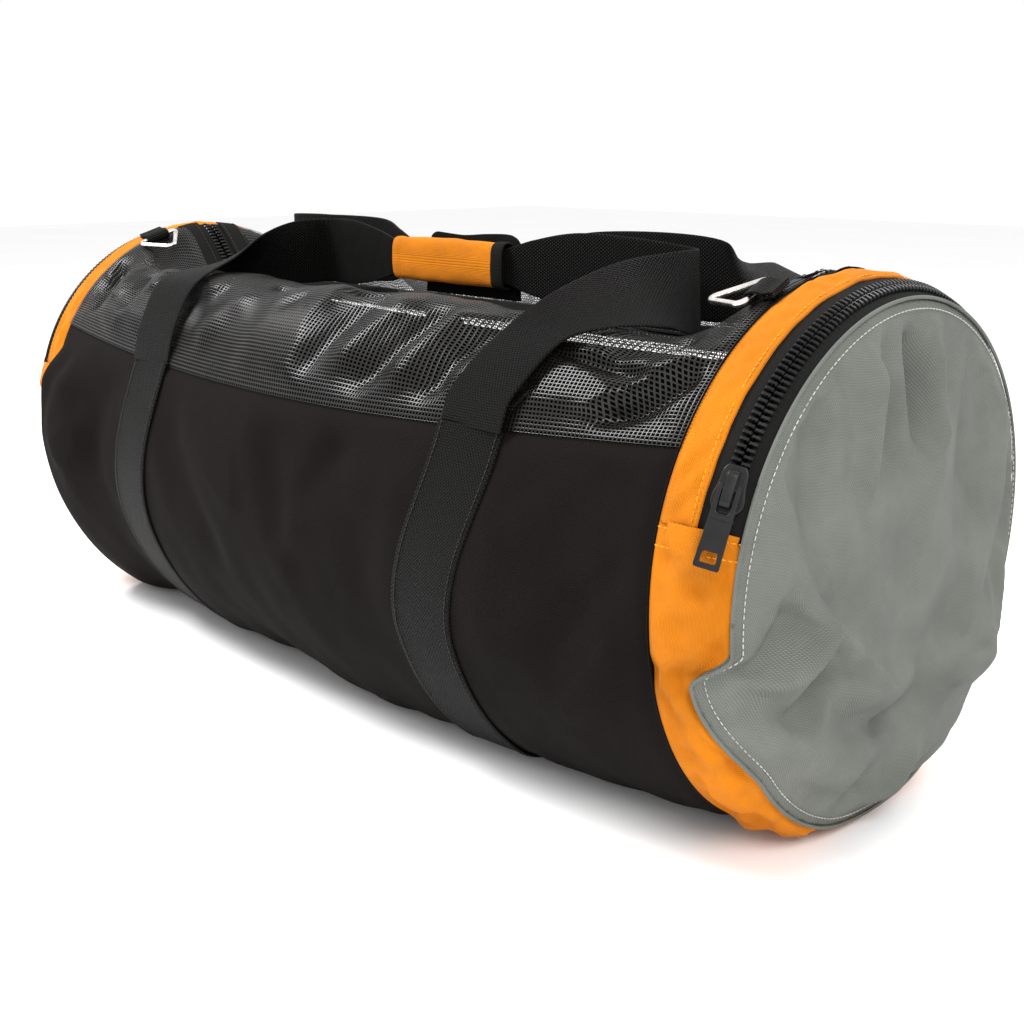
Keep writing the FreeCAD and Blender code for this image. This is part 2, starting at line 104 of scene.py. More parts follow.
# Each handle's free run after its leg, in mm: x, y, z and the direction across
# the webbing at the shoulder, half on edge, on edge, and where it turns.
FRONT_LEFT_RUN = [
    (-165.0, -88.0, 297.0, (-1.0, 0.0, -0.25)),
    (-168.0, -55.0, 301.0, (-0.7, 0.0, -0.7)),
    (-158.0, -20.0, 302.0, (-0.1, 0.0, -1.0)),
    (-146.0, 3.0, 303.0, (0.0, 0.0, -1.0)),
]
FRONT_RIGHT_RUN = [
    (231.0, -104.0, 294.0, (1.0, 0.05, -0.27)),
    (239.0, -60.0, 301.0, (0.73, 0.0, -0.68)),
    (235.0, -14.0, 298.5, (0.2, 0.0, -1.0)),
    (226.0, 9.0, 298.0, (0.05, 0.0, -1.0)),
]
BACK_LEFT_RUN = [
    (-230.0, 116.0, 306.0, (-1.0, 0.0, -0.45)),
    (-242.0, 67.0, 306.0, (-0.6, 0.0, -0.8)),
    (-246.0, 48.0, 303.0, (-0.2, 0.0, -1.0)),
    (-238.0, 34.0, 303.0, (0.0, 0.0, -1.0)),
]
BACK_RIGHT_RUN = [
    (232.0, 116.0, 298.0, (1.0, 0.0, -0.3)),
    (240.0, 70.0, 299.0, (0.9, 0.0, -0.45)),
    (243.0, 48.0, 298.0, (0.7, 0.0, -0.7)),
    (232.0, 34.0, 301.0, (0.15, 0.0, -1.0)),
]

FLOOR_SIZE = 12.0
MESH_PITCH = 0.0026
STRAND = 0.00095
TOOTH_PITCH = 0.0036
TOOTH_REACH = 2.3
STITCH_PITCH = 0.0036
STITCH_INSET = 0.0035
LATTICE = 0.006
RIM_POINTS = 150


def grid(a, b):
    """Two arrays of all pairs, the first along the rows."""
    return np.meshgrid(a, b, indexing="ij")


def facing(angle, back):
    """An angle of the front, or its mirror place at the back."""
    return 180.0 - angle if back else angle


def smooth(t):
    t = np.clip(t, 0.0, 1.0)
    return t * t * (3.0 - 2.0 * t)


def soft_floor(z, floor, blend):
    h = z - floor
    rounded = blend / 4.0 * (1.0 + np.clip(h / blend, -1.0, 1.0)) ** 2
    return floor + np.where(h >= blend, h, np.where(h <= -blend, 0.0, rounded))


def zip_height(x):
    rise = AXIS_Z + HOOP_R - ZIP_Z
    return ZIP_Z + rise * smooth((np.abs(x) - ZIP_FLAT_X) / (HOOP_X - ZIP_FLAT_X))


def seam_angle(x):
    """Angle of the seam between the lower panel and the mesh."""
    return MESH_SEAM + SEAM_RISE * (x / HOOP_X) ** 2


def strap_lean(angle):
    """How far a girth strap is drawn to the right at an angle."""
    return STRAP_LEAN * smooth((angle + 20.0) / (MESH_SEAM + 20.0))


def around(x, radius, angle, lift):
    a = np.radians(angle)
    r = radius + lift
    depth = np.where(np.sin(a) < 0.0, DEEPEN, 1.0)
    z = soft_floor(AXIS_Z + r * np.sin(a) * depth, np.maximum(FLOOR_Z - lift, 0.0002), FLOOR_BLEND)
    return np.stack(np.broadcast_arrays(x, -r * np.cos(a), z), axis=-1)


def skin(x, angle, lift=0.0):
    """Points of the body between the end seams, lift above its outer face."""
    x, angle, lift = np.broadcast_arrays(np.asarray(x, float), angle, lift)
    radius = HOOP_R + BULGE * (1.0 - (x / HOOP_X) ** 2)
    p = around(x, radius, angle, lift)
    across = np.clip((angle - MESH_SEAM) / (180.0 - 2.0 * MESH_SEAM), 0.0, 1.0)
    p[..., 2] -= (AXIS_Z + radius - zip_height(x)) * np.sin(np.pi * across) ** 4
    return p


def gusset(side, share, angle, lift=0.0):
    """Points of an end band: share 0 at the end seam, 1 at the end panel."""
    share, angle, lift = np.broadcast_arrays(np.asarray(share, float), angle, lift)
    reach = GUSSET_REACH + GUSSET_CURL
    slope_x = reach - 2.0 * GUSSET_CURL * share
    slope_r = -2.0 * GUSSET_DROP * share
    length = np.hypot(slope_x, slope_r)
    x = HOOP_X + reach * share - GUSSET_CURL * share ** 2 - lift * slope_r / length
    radius = HOOP_R - GUSSET_DROP * share ** 2
    return around(side * x, radius, angle, lift * slope_x / length)


# --- creases ---------------------------------------------------------------
def ripples(u, v, seed, size, waves=9):
    """Smooth random swells between about -1 and 1, about size metres apart."""
    rng = np.random.default_rng(seed)
    total = 0.0
    for _ in range(waves):
        turn, phase = rng.uniform(0.0, 2.0 * math.pi, 2)
        rate = 2.0 * math.pi / (size * rng.uniform(0.7, 1.7))
        total = total + np.sin(rate * (u * math.cos(turn) + v * math.sin(turn)) + phase)
    return total / math.sqrt(waves)


def fold(u, v, u0, v0, u1, v1, width, height):
    """A ridge, or a groove for a negative height, along a line and fading at its ends."""
    du, dv = u1 - u0, v1 - v0
    length = math.hypot(du, dv)
    along = ((u - u0) * du + (v - v0) * dv) / length ** 2
    across = ((u - u0) * dv - (v - v0) * du) / length
    fade = smooth(along / 0.3 + 0.3) * smooth((1.0 - along) / 0.3 + 0.3)
    return height * fade * np.exp(-(across / width) ** 2)


def folds(u, v, lines):
    """All the folds of a list, which gives them in millimetres."""
    total = np.zeros(np.broadcast(u, v).shape)
    for line in lines:
        total = total + fold(u, v, *[n * MM for n in line])
    return total


# --- meshes ----------------------------------------------------------------
def make(name, points, faces, body, material, uv=None, slot=None, replaces=(), shade_smooth=True):
    """A mesh piece that rides on a body. Points are (n, 3), uv is (n, 2) in metres of cloth."""
    mesh = bpy.data.meshes.new(name)
    mesh.from_pydata(np.asarray(points).tolist(), [], [list(map(int, f)) for f in faces])
    if uv is not None:
        corners = np.zeros(len(mesh.loops), np.int32)
        mesh.loops.foreach_get("vertex_index", corners)
        layer = mesh.uv_layers.new(name="cloth")
        layer.data.foreach_set("uv", np.asarray(uv, np.float32)[corners].ravel())
    mesh.polygons.foreach_set("use_smooth", [shade_smooth] * len(mesh.polygons))
    mesh.materials.append(material)
    obj = bpy.data.objects.new(name, mesh)
    bpy.context.scene.collection.objects.link(obj)
    if body:
        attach(obj, body)
    if replaces:
        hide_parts(*replaces)
    return obj


def unit(vectors):
    return vectors / np.linalg.norm(vectors, axis=1)[:, None]


def faces_out(points, faces):
    """The faces, turned if need be so that they look away from the middle of the bag."""
    corners = np.asarray(points).reshape(-1, 3)[faces]
    normals = np.cross(corners[:, 2] - corners[:, 0], corners[:, 3] - corners[:, 1])
    away = corners.mean(1) - (0.0, 0.0, AXIS_Z)
    return faces[:, ::-1] if (normals * away).sum() < 0.0 else faces


def quads(rows, columns, flip=False, wrap_rows=False, wrap_columns=False):
    """Faces of a grid of points, as indices."""
    i, j = grid(
        np.arange(rows if wrap_rows else rows - 1), np.arange(columns if wrap_columns else columns - 1))
    i1, j1 = (i + 1) % rows, (j + 1) % columns
    faces = np.stack([i * columns + j, i1 * columns + j, i1 * columns + j1, i * columns + j1], -1)
    faces = faces.reshape(-1, 4)
    return faces[:, ::-1] if flip else faces


def thicken(obj, thickness):
    solid = obj.modifiers.new("thickness", "SOLIDIFY")
    solid.thickness = thickness
    solid.offset = -1.0
    return obj


def grid_piece(name, points, u, v, body, material, thickness, **more):
    """A sheet from an (n, m, 3) grid; u and v are its cloth coordinates."""
    n, m = points.shape[:2]
    uv = np.stack(np.broadcast_arrays(u, v), -1).reshape(-1, 2)
    faces = faces_out(points, quads(n, m))
    obj = make(name, points.reshape(-1, 3), faces, body, material, uv, **more)
    return thicken(obj, thickness)


def merge(parts):
    """Joins (points, faces) parts into one."""
    points, faces, count = [], [], 0
    for p, f in parts:
        points.append(np.asarray(p, float))
        faces.extend([[int(i) + count for i in face] for face in f])
        count += len(p)
    return np.concatenate(points), faces


def resample(grid, rows, columns):
    """A finer grid from a coarse one, by cubic interpolation along both ways."""
    def along(values, count):
        n = len(values)
        t = np.linspace(0.0, n - 1.0, count) if np.isscalar(count) else np.asarray(count) * (n - 1.0)
        i = np.clip(t.astype(int), 0, n - 2)
        f = (t - i).reshape((-1,) + (1,) * (values.ndim - 1))
        a, b, c, d = (values[np.clip(i + k, 0, n - 1)] for k in (-1, 0, 1, 2))
        return b + 0.5 * f * (c - a + f * (2 * a - 5 * b + 4 * c - d + f * (3 * (b - c) + d - a)))
    return np.swapaxes(along(np.swapaxes(along(grid, rows), 0, 1), columns), 0, 1)


def frames_at(points, across):
    """Matrices with X along the line of points, Y across and Z out of the surface."""
    points = np.asarray(points)
    along = unit(np.gradient(points, axis=0))
    y = unit(across - (across * along).sum(1)[:, None] * along)
    return np.stack([along, y, np.cross(along, y)], -1)


def repeat_along(template, points, turns):
    """Copies of a small (points, faces) template at places with 3x3 turns."""
    tp, tf = template
    placed = np.einsum("nij,kj->nki", turns, np.asarray(tp)) + np.asarray(points)[:, None]
    offsets = np.arange(len(points)) * len(tp)
    faces = [[i + o for i in f] for o in offsets for f in tf]
    return placed.reshape(-1, 3), faces


def lengths(line):
    """Length along a line of points, from its first."""
    return np.concatenate([[0.0], np.cumsum(np.linalg.norm(np.diff(line, axis=0), axis=1))])


def even_points(line, pitch, start):
    """Points pitch apart along a line of close points, and the line's nearest point to each."""
    length = lengths(line)
    at = np.arange(start, length[-1], pitch)
    places = np.stack([np.interp(at, length, line[:, k]) for k in range(3)], -1)
    return places, [int(np.argmin(((line - p) ** 2).sum(1))) for p in places]


def stitch_template(length, thick):
    """One stitch: a short thread lying along X, ends tucked into the cloth."""
    rings = [(-0.5, 0.35, -0.5), (-0.38, 0.8, 0.15), (0.0, 1.0, 0.45), (0.38, 0.8, 0.15), (0.5, 0.35, -0.5)]
    points = []
    sides = 6
    for along, size, up in rings:
        for k in range(sides):
            a = 2.0 * math.pi * k / sides
            points.append((along * length, math.cos(a) * size * thick, (math.sin(a) * size + up) * thick))
    faces = [tuple(f) for f in quads(len(rings), sides, wrap_columns=True, flip=True)]
    faces.append(tuple(range(sides)))
    faces.append(tuple(reversed(range(len(points) - sides, len(points)))))
    return points, faces


STITCH = stitch_template(0.0027, 0.00036)    # length and thickness


def stitches(line, across):
    """A row of stitches along a line on a surface, as (points, faces)."""
    places, nearest = even_points(line, STITCH_PITCH, STITCH_PITCH / 2.0)
    return repeat_along(STITCH, places, frames_at(line, across)[nearest])


def sew(name, rows, material, slot):
    points, faces = merge(rows)
    make(name, points, faces, "bag", material, slot=slot)


def plate(outlines, low, high, bevel):
    """A flat plate with holes and rounded edges from closed XY outlines, in millimetres."""
    data = bpy.data.curves.new("plate", "CURVE")
    data.dimensions = "2D"
    data.fill_mode = "BOTH"
    data.extrude = (high - low) / 2.0 - bevel
    data.bevel_depth = bevel
    data.bevel_resolution = 2
    data.offset = -bevel
    for outline in outlines:
        spline = data.splines.new("POLY")
        spline.points.add(len(outline) - 1)
        for point, (x, y) in zip(spline.points, outline):
            point.co = (x, y, 0.0, 1.0)
        spline.use_cyclic_u = True
    shape = bpy.data.objects.new("plate", data)
    mesh = bpy.data.meshes.new_from_object(shape)
    points = np.array([v.co for v in mesh.vertices]) + (0.0, 0.0, (low + high) / 2.0)
    faces = [tuple(p.vertices) for p in mesh.polygons]
    bpy.data.objects.remove(shape)
    bpy.data.meshes.remove(mesh)
    return points * MM, faces


def rounded(corners, radius):
    """A closed outline with each corner rounded as far as its sides allow."""
    outline = []
    steps = 5
    count = len(corners)
    for i in range(count):
        p = Vector(corners[i])
        before, after = Vector(corners[i - 1]) - p, Vector(corners[(i + 1) % count]) - p
        cut = min(radius, before.length * 0.45, after.length * 0.45)
        a, b = p + before.normalized() * cut, p + after.normalized() * cut
        for k in range(steps + 1):
            t = k / steps
            outline.append(tuple(a * (1 - t) ** 2 + p * 2 * t * (1 - t) + b * t * t))
    return outline


# --- looks -----------------------------------------------------------------
class Look:
    """A Principled material, with short ways to add nodes to it."""

    def __init__(self, name, colour, roughness, **sockets):
        self.material = bpy.data.materials.new(name)
        self.material.use_nodes = True
        self.tree = self.material.node_tree
        self.shader = self.tree.nodes["Principled BSDF"]
        self.shader.inputs["Base Color"].default_value = (*colour, 1.0)
        self.shader.inputs["Roughness"].default_value = roughness
        for socket, value in sockets.items():
            self.shader.inputs[socket.replace("_", " ")].default_value = value
        self.colour = colour
        self.height = None

    def node(self, kind, inputs=(), **settings):
        made = self.tree.nodes.new("ShaderNode" + kind)
        for name, value in settings.items():
            setattr(made, name, value)
        for socket, value in dict(inputs).items():
            if isinstance(value, bpy.types.NodeSocket):
                self.tree.links.new(value, made.inputs[socket])
            else:
                made.inputs[socket].default_value = value
        return made

    def math(self, operation, a, b=0.0):
        return self.node("Math", {0: a, 1: b}, operation=operation).outputs[0]

    def cloth(self):
        return self.node("UVMap", uv_map="cloth").outputs[0]

    def place(self):
        return self.node("TexCoord").outputs["Object"]

    def noise(self, vector, scale, detail=3.0, rough=0.5):
        inputs = {"Vector": vector, "Scale": scale, "Detail": detail, "Roughness": rough}
        return self.node("TexNoise", inputs).outputs["Fac"]

    def shades(self, factor, dark, light, low=0.3, high=0.7):
        """Base colour from dark to light times the material's own, by a factor."""
        ramp = self.node("ValToRGB", {"Fac": factor})
        ramp.color_ramp.elements[0].position = low
        ramp.color_ramp.elements[1].position = high
        for element, share in zip(ramp.color_ramp.elements, (dark, light)):
            element.color = (*[min(c * share, 1.0) for c in self.colour], 1.0)
        self.tree.links.new(ramp.outputs["Color"], self.shader.inputs["Base Color"])

    def gloss(self, factor, low, high):
        between = {"Value": factor, "To Min": low, "To Max": high}
        mapped = self.node("MapRange", between)
        self.tree.links.new(mapped.outputs["Result"], self.shader.inputs["Roughness"])

    def bump(self, height, distance, strength=1.0):
        inputs = {"Height": height, "Distance": distance, "Strength": strength}
        if self.height:
            inputs["Normal"] = self.height
        made = self.node("Bump", inputs)
        self.height = made.outputs["Normal"]
        self.tree.links.new(self.height, self.shader.inputs["Normal"])

    def threads(self, pitch_u, pitch_v, shift):
        """Height of a woven surface: short rounded floats, each row shifted on the last."""
        parts = self.node("SeparateXYZ", {"Vector": self.cloth()})
        u, v = parts.outputs["X"], parts.outputs["Y"]
        row = self.math("MULTIPLY", v, 1.0 / pitch_v)
        step = self.math("MULTIPLY", self.math("FLOOR", row), shift)
        column = self.math("ADD", self.math("MULTIPLY", u, 1.0 / pitch_u), step)
        along = self.math("SINE", self.math("MULTIPLY", self.math("FRACT", column), math.pi))
        across = self.math("SINE", self.math("MULTIPLY", self.math("FRACT", row), math.pi))
        return self.math("MULTIPLY", self.math("POWER", along, 0.6), self.math("POWER", across, 0.7))


def fabric(name, colour, pitch_u, pitch_v, shift, depth, roughness=0.85, weave_shade_share=0.35, **sockets):
    """A woven cloth: painted shade in the gaps between the floats and painted highlight on their crowns, soft
    uneven dye and slight fuzz.
    """
    look = Look(name, colour, roughness, **sockets)
    threads = look.threads(pitch_u, pitch_v, shift)
    patches = look.noise(look.place(), 18.0, 4.0, 0.6)
    fuzz = look.noise(look.cloth(), 1500.0, 2.0)
    # The weave's height also sets the colour: painted shade in the gaps between threads and painted highlight
    # on the floats, mixed with the uneven dye.
    woven = look.math("MULTIPLY", threads, weave_shade_share)
    dyed = look.math("MULTIPLY", patches, 1.0 - weave_shade_share)
    dye_and_weave_shade = look.math("ADD", woven, dyed)
    look.shades(dye_and_weave_shade, 0.55, 1.3, 0.25, 0.8)
    look.gloss(patches, roughness - 0.08, min(roughness + 0.08, 1.0))
    look.bump(threads, depth)
    look.bump(fuzz, 0.0001, 0.5)
    return look.material


def moulded(name, colour, roughness, **sockets):
    """Moulded plastic or painted metal with a faint grain and worn patches."""
    look = Look(name, colour, roughness, **sockets)
    grain = look.noise(look.place(), 2500.0, 2.0)
    patches = look.noise(look.place(), 90.0, 4.0, 0.6)
    look.shades(patches, 0.8, 1.35)
    look.gloss(patches, roughness * 0.8, min(roughness * 1.3, 1.0))
    look.bump(grain, 0.00004, 0.6)
    return look.material


def mesh_vinyl():
    """Glossy vinyl-coated netting: round strands, shiny where the coating is thick."""
    look = Look("mesh_vinyl", (0.006, 0.0052, 0.0046), 0.3, Specular_IOR_Level=0.35)
    parts = look.node("SeparateXYZ", {"Vector": look.cloth()})
    rounds = []
    for axis in ("X", "Y"):
        turn = look.math("MULTIPLY", parts.outputs[axis], math.pi / MESH_PITCH)
        rounds.append(look.math("ABSOLUTE", look.math("COSINE", turn)))
    patches = look.noise(look.place(), 25.0, 4.0, 0.6)
    look.shades(patches, 0.7, 1.5)
    look.gloss(patches, 0.2, 0.4)
    look.bump(look.math("MAXIMUM", *rounds), 0.0006, 0.8)
    return look.material


MESH_LOOK = mesh_vinyl()
BLACK = fabric("black_cordura", (0.0065, 0.0050, 0.0044), 0.0016, 0.0009, 0.5, 0.0002, 0.85,
               Specular_IOR_Level=0.07)
LINING = fabric("black_lining", (0.006, 0.0055, 0.005), 0.0008, 0.0008, 0.5, 0.0001, 0.8,
                Specular_IOR_Level=0.1)
GREY = fabric("grey_twill", (0.150, 0.158, 0.140), 0.0011, 0.0007, 0.34, 0.00022, 0.8, 0.45,
              Specular_IOR_Level=0.25)
YELLOW = fabric("yellow_twill", (0.62, 0.185, 0.002), 0.0011, 0.0007, 0.34, 0.00022, 0.8, 0.4,
                Specular_IOR_Level=0.2)
WEBBING = fabric("black_webbing", (0.0050, 0.0044, 0.0040), 0.0022, 0.0015, 0.5, 0.0012, 0.5, 0.8,
                 Specular_IOR_Level=0.08)
TAPE = fabric("zip_tape_weave", (0.009, 0.0086, 0.008), 0.0007, 0.0012, 0.5, 0.00015, 0.8,
              Specular_IOR_Level=0.12)
HOOKS = fabric("hook_and_loop", (0.004, 0.004, 0.004), 0.0012, 0.0012, 0.0, 0.0005, 0.95,
               Specular_IOR_Level=0.08)
TEETH = moulded("zip_teeth_plastic", (0.008, 0.008, 0.008), 0.3, Specular_IOR_Level=0.2)
SLIDER = moulded("slider_satin_black", (0.008, 0.008, 0.0078), 0.34, Specular_IOR_Level=0.25)
STEEL = moulded("ring_nickel", (0.72, 0.69, 0.65), 0.2, Metallic=1.0)
LIGHT_THREAD = moulded("light_thread", (0.42, 0.42, 0.37), 0.7, Specular_IOR_Level=0.2)
GOLD_THREAD = moulded("gold_thread", (0.70, 0.27, 0.012), 0.7, Specular_IOR_Level=0.2)
DARK_THREAD = moulded("dark_thread", (0.012, 0.011, 0.010), 0.5, Specular_IOR_Level=0.3)


# --- body fabric -----------------------------------------------------------
def end_distance(x):
    return HOOP_X - np.abs(x)


def seam_roll(distance, depth=0.0022, width=0.005):
    """How far cloth dips where it rolls into a seam."""
    return -depth * np.exp(-(distance / width) ** 2)


LOWER_FOLDS = [
    # Along the bag, then round it from the front seam, both in mm.
    (325, 60, 250, 130, 12, -3.5), (318, 110, 268, 165, 9, 3.0), (240, 20, 305, 70, 20, -2.5),
    (100, 8, 40, 75, 12, -3.0), (60, 40, 25, 120, 13, 2.6), (20, 10, 35, 100, 14, -2.8),
    (-60, 12, -20, 80, 15, 2.4), (-110, 30, -60, 130, 18, -3.0), (-215, 20, -250, 100, 16, -3.4),
    (-240, 60, -300, 110, 14, 2.6), (-290, 20, -325, 90, 12, -3.0), (120, 60, 100, 150, 16, -2.2),
    (205, 70, 230, 140, 16, 2.0), (290, 10, 326, 40, 9, -2.4),
]


def lower_fabric():
    x, t = grid(np.linspace(-HOOP_X, HOOP_X, 300), np.linspace(0.0, 1.0, 220))
    span = 180.0 + 2.0 * seam_angle(x)
    angle = seam_angle(x) - t * span
    whole = np.radians(span) * CLOTH_R
    down = t * whole
    edge = np.minimum(np.minimum(down, whole - down), end_distance(x))
    beside = [np.abs(x - STRAP_X[side] - strap_lean(angle)) for side in (1, -1)]
    calm = 1.0 - np.exp(-(np.minimum(*beside) / 0.034) ** 4)
    # The back is the front's cloth turned round, so both sides get the same lines.
    lines = folds(x, down, LOWER_FOLDS) + folds(-x, whole - down, LOWER_FOLDS)
    relief = 1.3 * lines + 0.0022 * ripples(x, down, 3, 0.17) + 0.0006 * ripples(x, down, 4, 0.04)
    relief = np.minimum(relief, 0.003) * smooth(edge / 0.03) * calm + seam_roll(edge)
    # At the left end the cloth bellies out over the end seam.
    along = smooth((-x - 0.235) / 0.07) * smooth((HOOP_X + x) / 0.013)
    round_ = smooth((angle + 100.0) / 30.0) * smooth((25.0 - angle) / 14.0)
    relief = relief + 0.016 * along * round_
    grid_piece("lower_fabric", skin(x, angle, relief), x, down, "bag", BLACK, 0.0012,
               slot="black_fabric", replaces=["lower_panel"])


FRONT_MESH_FOLDS = [
    # Along the bag, then up from the mesh seam, both in mm.
    (332, 58, 276, 8, 9, -6.5), (334, 74, 288, 42, 8, 3.5), (286, 20, 244, 40, 11, 4.5),
    (306, 46, 232, 56, 7, -4.5), (252, 50, 240, 108, 12, 4.0), (300, 100, 262, 60, 10, -3.0),
    (214, 14, 232, 34, 6, -3.5), (150, 8, 176, 100, 10, -4.5), (122, 10, 150, 96, 10, 3.5),
    (92, 12, 126, 92, 9, -3.5), (66, 20, 96, 96, 10, 2.8), (36, 14, 60, 88, 10, -3.0),
    (0, 30, 20, 100, 12, 2.8), (20, 92, 66, 112, 7, -4.0), (-30, 70, 20, 104, 8, 3.6),
    (-70, 90, -24, 96, 8, -3.8), (-100, 20, -60, 80, 14, 2.6), (-150, 96, -110, 70, 10, 3.2),
    (-210, 60, -236, 108, 9, 3.8), (-232, 30, -256, 96, 9, -4.2), (-262, 40, -290, 104, 9, 4.0),
    (-292, 20, -316, 84, 8, -4.0), (-314, 60, -330, 100, 7, 3.0),
]


def mesh_relief(x, up, whole, seed):
    edge = np.minimum(np.minimum(up, whole - up), end_distance(x))
    turned = -1.0 if seed % 2 else 1.0
    relief = 1.7 * folds(turned * x, up, FRONT_MESH_FOLDS)
    relief = relief + 0.0030 * ripples(x, up, seed, 0.11) + 0.0007 * ripples(x, up, seed + 1, 0.035)
    return np.minimum(relief, 0.0042) * smooth(edge / 0.022) + seam_roll(edge, 0.0006)


def netting(points):
    """Open square mesh on a grid of strand lines: ribbons with holes between them.

    points has two lines for each strand, at its two edges."""
    rows, columns = points.shape[:2]
    faces = quads(rows, columns)
    i, j = np.divmod(np.arange(len(faces)), columns - 1)
    return faces[~((i % 2 == 1) & (j % 2 == 1))]


def strand_lines(count, pitch):
    """Both edges of count strands, pitch apart, from 0."""
    middle = np.arange(count) * pitch
    return np.stack([middle - STRAND / 2.0, middle + STRAND / 2.0], -1).ravel()


def mesh_panel(name, back, seed):
    width = 2.0 * HOOP_X
    whole = math.radians(ZIP_ANGLE - MESH_SEAM) * CLOTH_R
    columns = round(width / MESH_PITCH)
    rows = round(whole / MESH_PITCH)
    coarse_x, coarse_up = grid(np.linspace(-HOOP_X, HOOP_X, 120), np.linspace(0.0, whole, 48))
    seam = seam_angle(coarse_x)
    angle = facing(seam + (ZIP_ANGLE - seam) * coarse_up / whole, back)
    coarse = skin(coarse_x, angle, mesh_relief(coarse_x, coarse_up, whole, seed))
    along = np.clip(strand_lines(columns + 1, width / columns) / width, 0.0, 1.0)
    upward = np.clip(strand_lines(rows + 1, whole / rows) / whole, 0.0, 1.0)
    points = resample(coarse, along, upward)
    uv = np.stack(grid(along * columns * MESH_PITCH, upward * rows * MESH_PITCH), -1)
    faces = faces_out(points, netting(points))
    make(name + "_netting", points.reshape(-1, 3), faces, "bag", MESH_LOOK, uv.reshape(-1, 2),
         slot="black_mesh", replaces=[name + "_mesh_panel"])


# --- main zip --------------------------------------------------------------
def tooth_template(reach):
    """One moulded tooth: Y points at the zip's centre line, X runs along it."""
    outline = [(-0.95, -2.6), (0.95, -2.6), (0.95, 0.2), (0.7, 0.9), (1.15, 1.7), (0.8, reach),
               (-0.8, reach), (-1.15, 1.7), (-0.7, 0.9), (-0.95, 0.2)]
    levels = [(1.0, -1.2), (1.0, 0.8), (0.72, 1.5)]
    middle = 0.4
    points = [(x * size * MM, (y - middle) * size * MM + middle * MM, z * MM)
              for size, z in levels for x, y in outline]
    faces = [tuple(f) for f in quads(len(levels), len(outline), wrap_columns=True, flip=True)]
    faces.append(tuple(range(len(points) - len(outline), len(points))))
    faces.append(tuple(reversed(range(len(outline)))))
    return points, faces


TOOTH = tooth_template(TOOTH_REACH)


def teeth(name, line, towards, shift, replaces):
    """A row of teeth along a line, with their heads towards the other row."""
    places, nearest = even_points(line, TOOTH_PITCH, TOOTH_PITCH * (0.5 + 0.5 * shift))
    turns = frames_at(line, towards)
    # Teeth stand out of the bag: turn the ones whose normal points inwards.
    if (turns[0, :, 2] * (line[0] - (line[0][0], 0.0, AXIS_Z))).sum() < 0:
        turns[:, :, 0] *= -1
        turns[:, :, 2] *= -1
    points, faces = repeat_along(TOOTH, places, turns[nearest])
    make(name, points, faces, "bag", TEETH, slot="zip_plastic", replaces=replaces, shade_smooth=False)


def body_band(name, angles, lift, material, slot, replaces, wave=0.0):
    """A long strip beside the main zip."""
    x, angle = grid(np.linspace(-HOOP_X + 0.003, HOOP_X - 0.003, 330), np.linspace(*angles, 5))
    across = np.radians(angle) * CLOTH_R
    points = skin(x, angle, lift + wave * ripples(x, across, 11, 0.05))
    grid_piece(name, points, x, across, "bag", material, 0.0008, slot=slot, replaces=replaces)


def main_zip():
    x = np.linspace(-HOOP_X + 0.004, HOOP_X - 0.004, 500)
    rows = []
    for name, back in (("front", False), ("back", True)):
        body_band(name + "_binding", facing(np.array(BINDING_ANGLES), back), 0.0010, LINING, "binding_tape",
                  [name + "_zip_binding"], wave=0.0003)
        body_band(name + "_tape", facing(np.array(TAPE_ANGLES), back), -0.0015, TAPE, "zip_tape",
                  [name + "_zip_tape"])
        line = skin(x, facing(TOOTH_ANGLE, back), -0.0010)
        towards = skin(x, facing(90.0, back), -0.0010) - line
        teeth(name + "_teeth", line, towards, float(back), [name + "_zip_teeth"])
        for angle in (80.4, 85.4):
            row = skin(x, facing(angle, back), 0.0012)
            rows.append(stitches(row, skin(x, facing(angle + 1.0, back), 0.0012) - row))
    sew("main_zip_stitching", rows, DARK_THREAD, "binding_tape")


# --- sliders ---------------------------------------------------------------
def at_slope(centre, along, up):
    z = Vector(up).normalized()
    x = (Vector(along) - z * Vector(along).dot(z)).normalized()
    y = z.cross(x)
    rows = [(x[i], y[i], z[i], centre[i]) for i in range(3)]
    return Matrix(rows + [(0, 0, 0, 1)])


def moved(part, matrix):
    m = np.array(matrix)
    return part[0] @ m[:3, :3].T + m[:3, 3], part[1]


def turned_up(part):
    """A plate drawn in XY stood up in XZ, for side profiles."""
    points = part[0][:, [0, 2, 1]] * (1.0, -1.0, 1.0)
    return points, part[1]


def slider_parts(rise, width):
    """Slider body: a shield-shaped top plate, a bottom plate, a post and a bridge, in metres."""
    w = width / 2.0
    shield = [(12.5, w * 0.60), (9.5, w * 0.86), (2.0, w * 0.92),
              (-4.0, w * 1.12), (-8.5, w * 1.06), (-12.5, w * 0.5)]
    outline = shield + [(x, -y) for x, y in reversed(shield)]
    top = plate([rounded(outline, 3.0)], 0.7, 3.1, 0.7)
    raised = plate([rounded([(x * 0.72, y * 0.66) for x, y in outline], 2.5)], 2.6, 3.6, 0.3)
    bottom = plate([rounded([(x * 0.96, y * 0.8) for x, y in outline], 3.0)], -6.8, -5.2, 0.5)
    post = plate([rounded([(4, 0.25), (-4, 0.25), (-4, -0.25), (4, -0.25)], 0.1)], -6.0, 1.5, 0.05)
    crest = 3.1 + rise
    arch = [(10.0, 2.8), (9.0, crest - 1.2), (6.5, crest), (-6.8, crest), (-9.2, crest - 1.6), (-9.8, 2.8),
            (-7.6, 2.8), (-7.0, crest - 2.2), (-5.6, crest - 1.8), (5.4, crest - 1.8),
            (7.0, crest - 2.2), (7.6, 2.8)]
    bridge = turned_up(plate([rounded(arch, 1.0)], -2.6, 2.6, 0.5))
    return merge([top, raised, bottom, post, bridge])


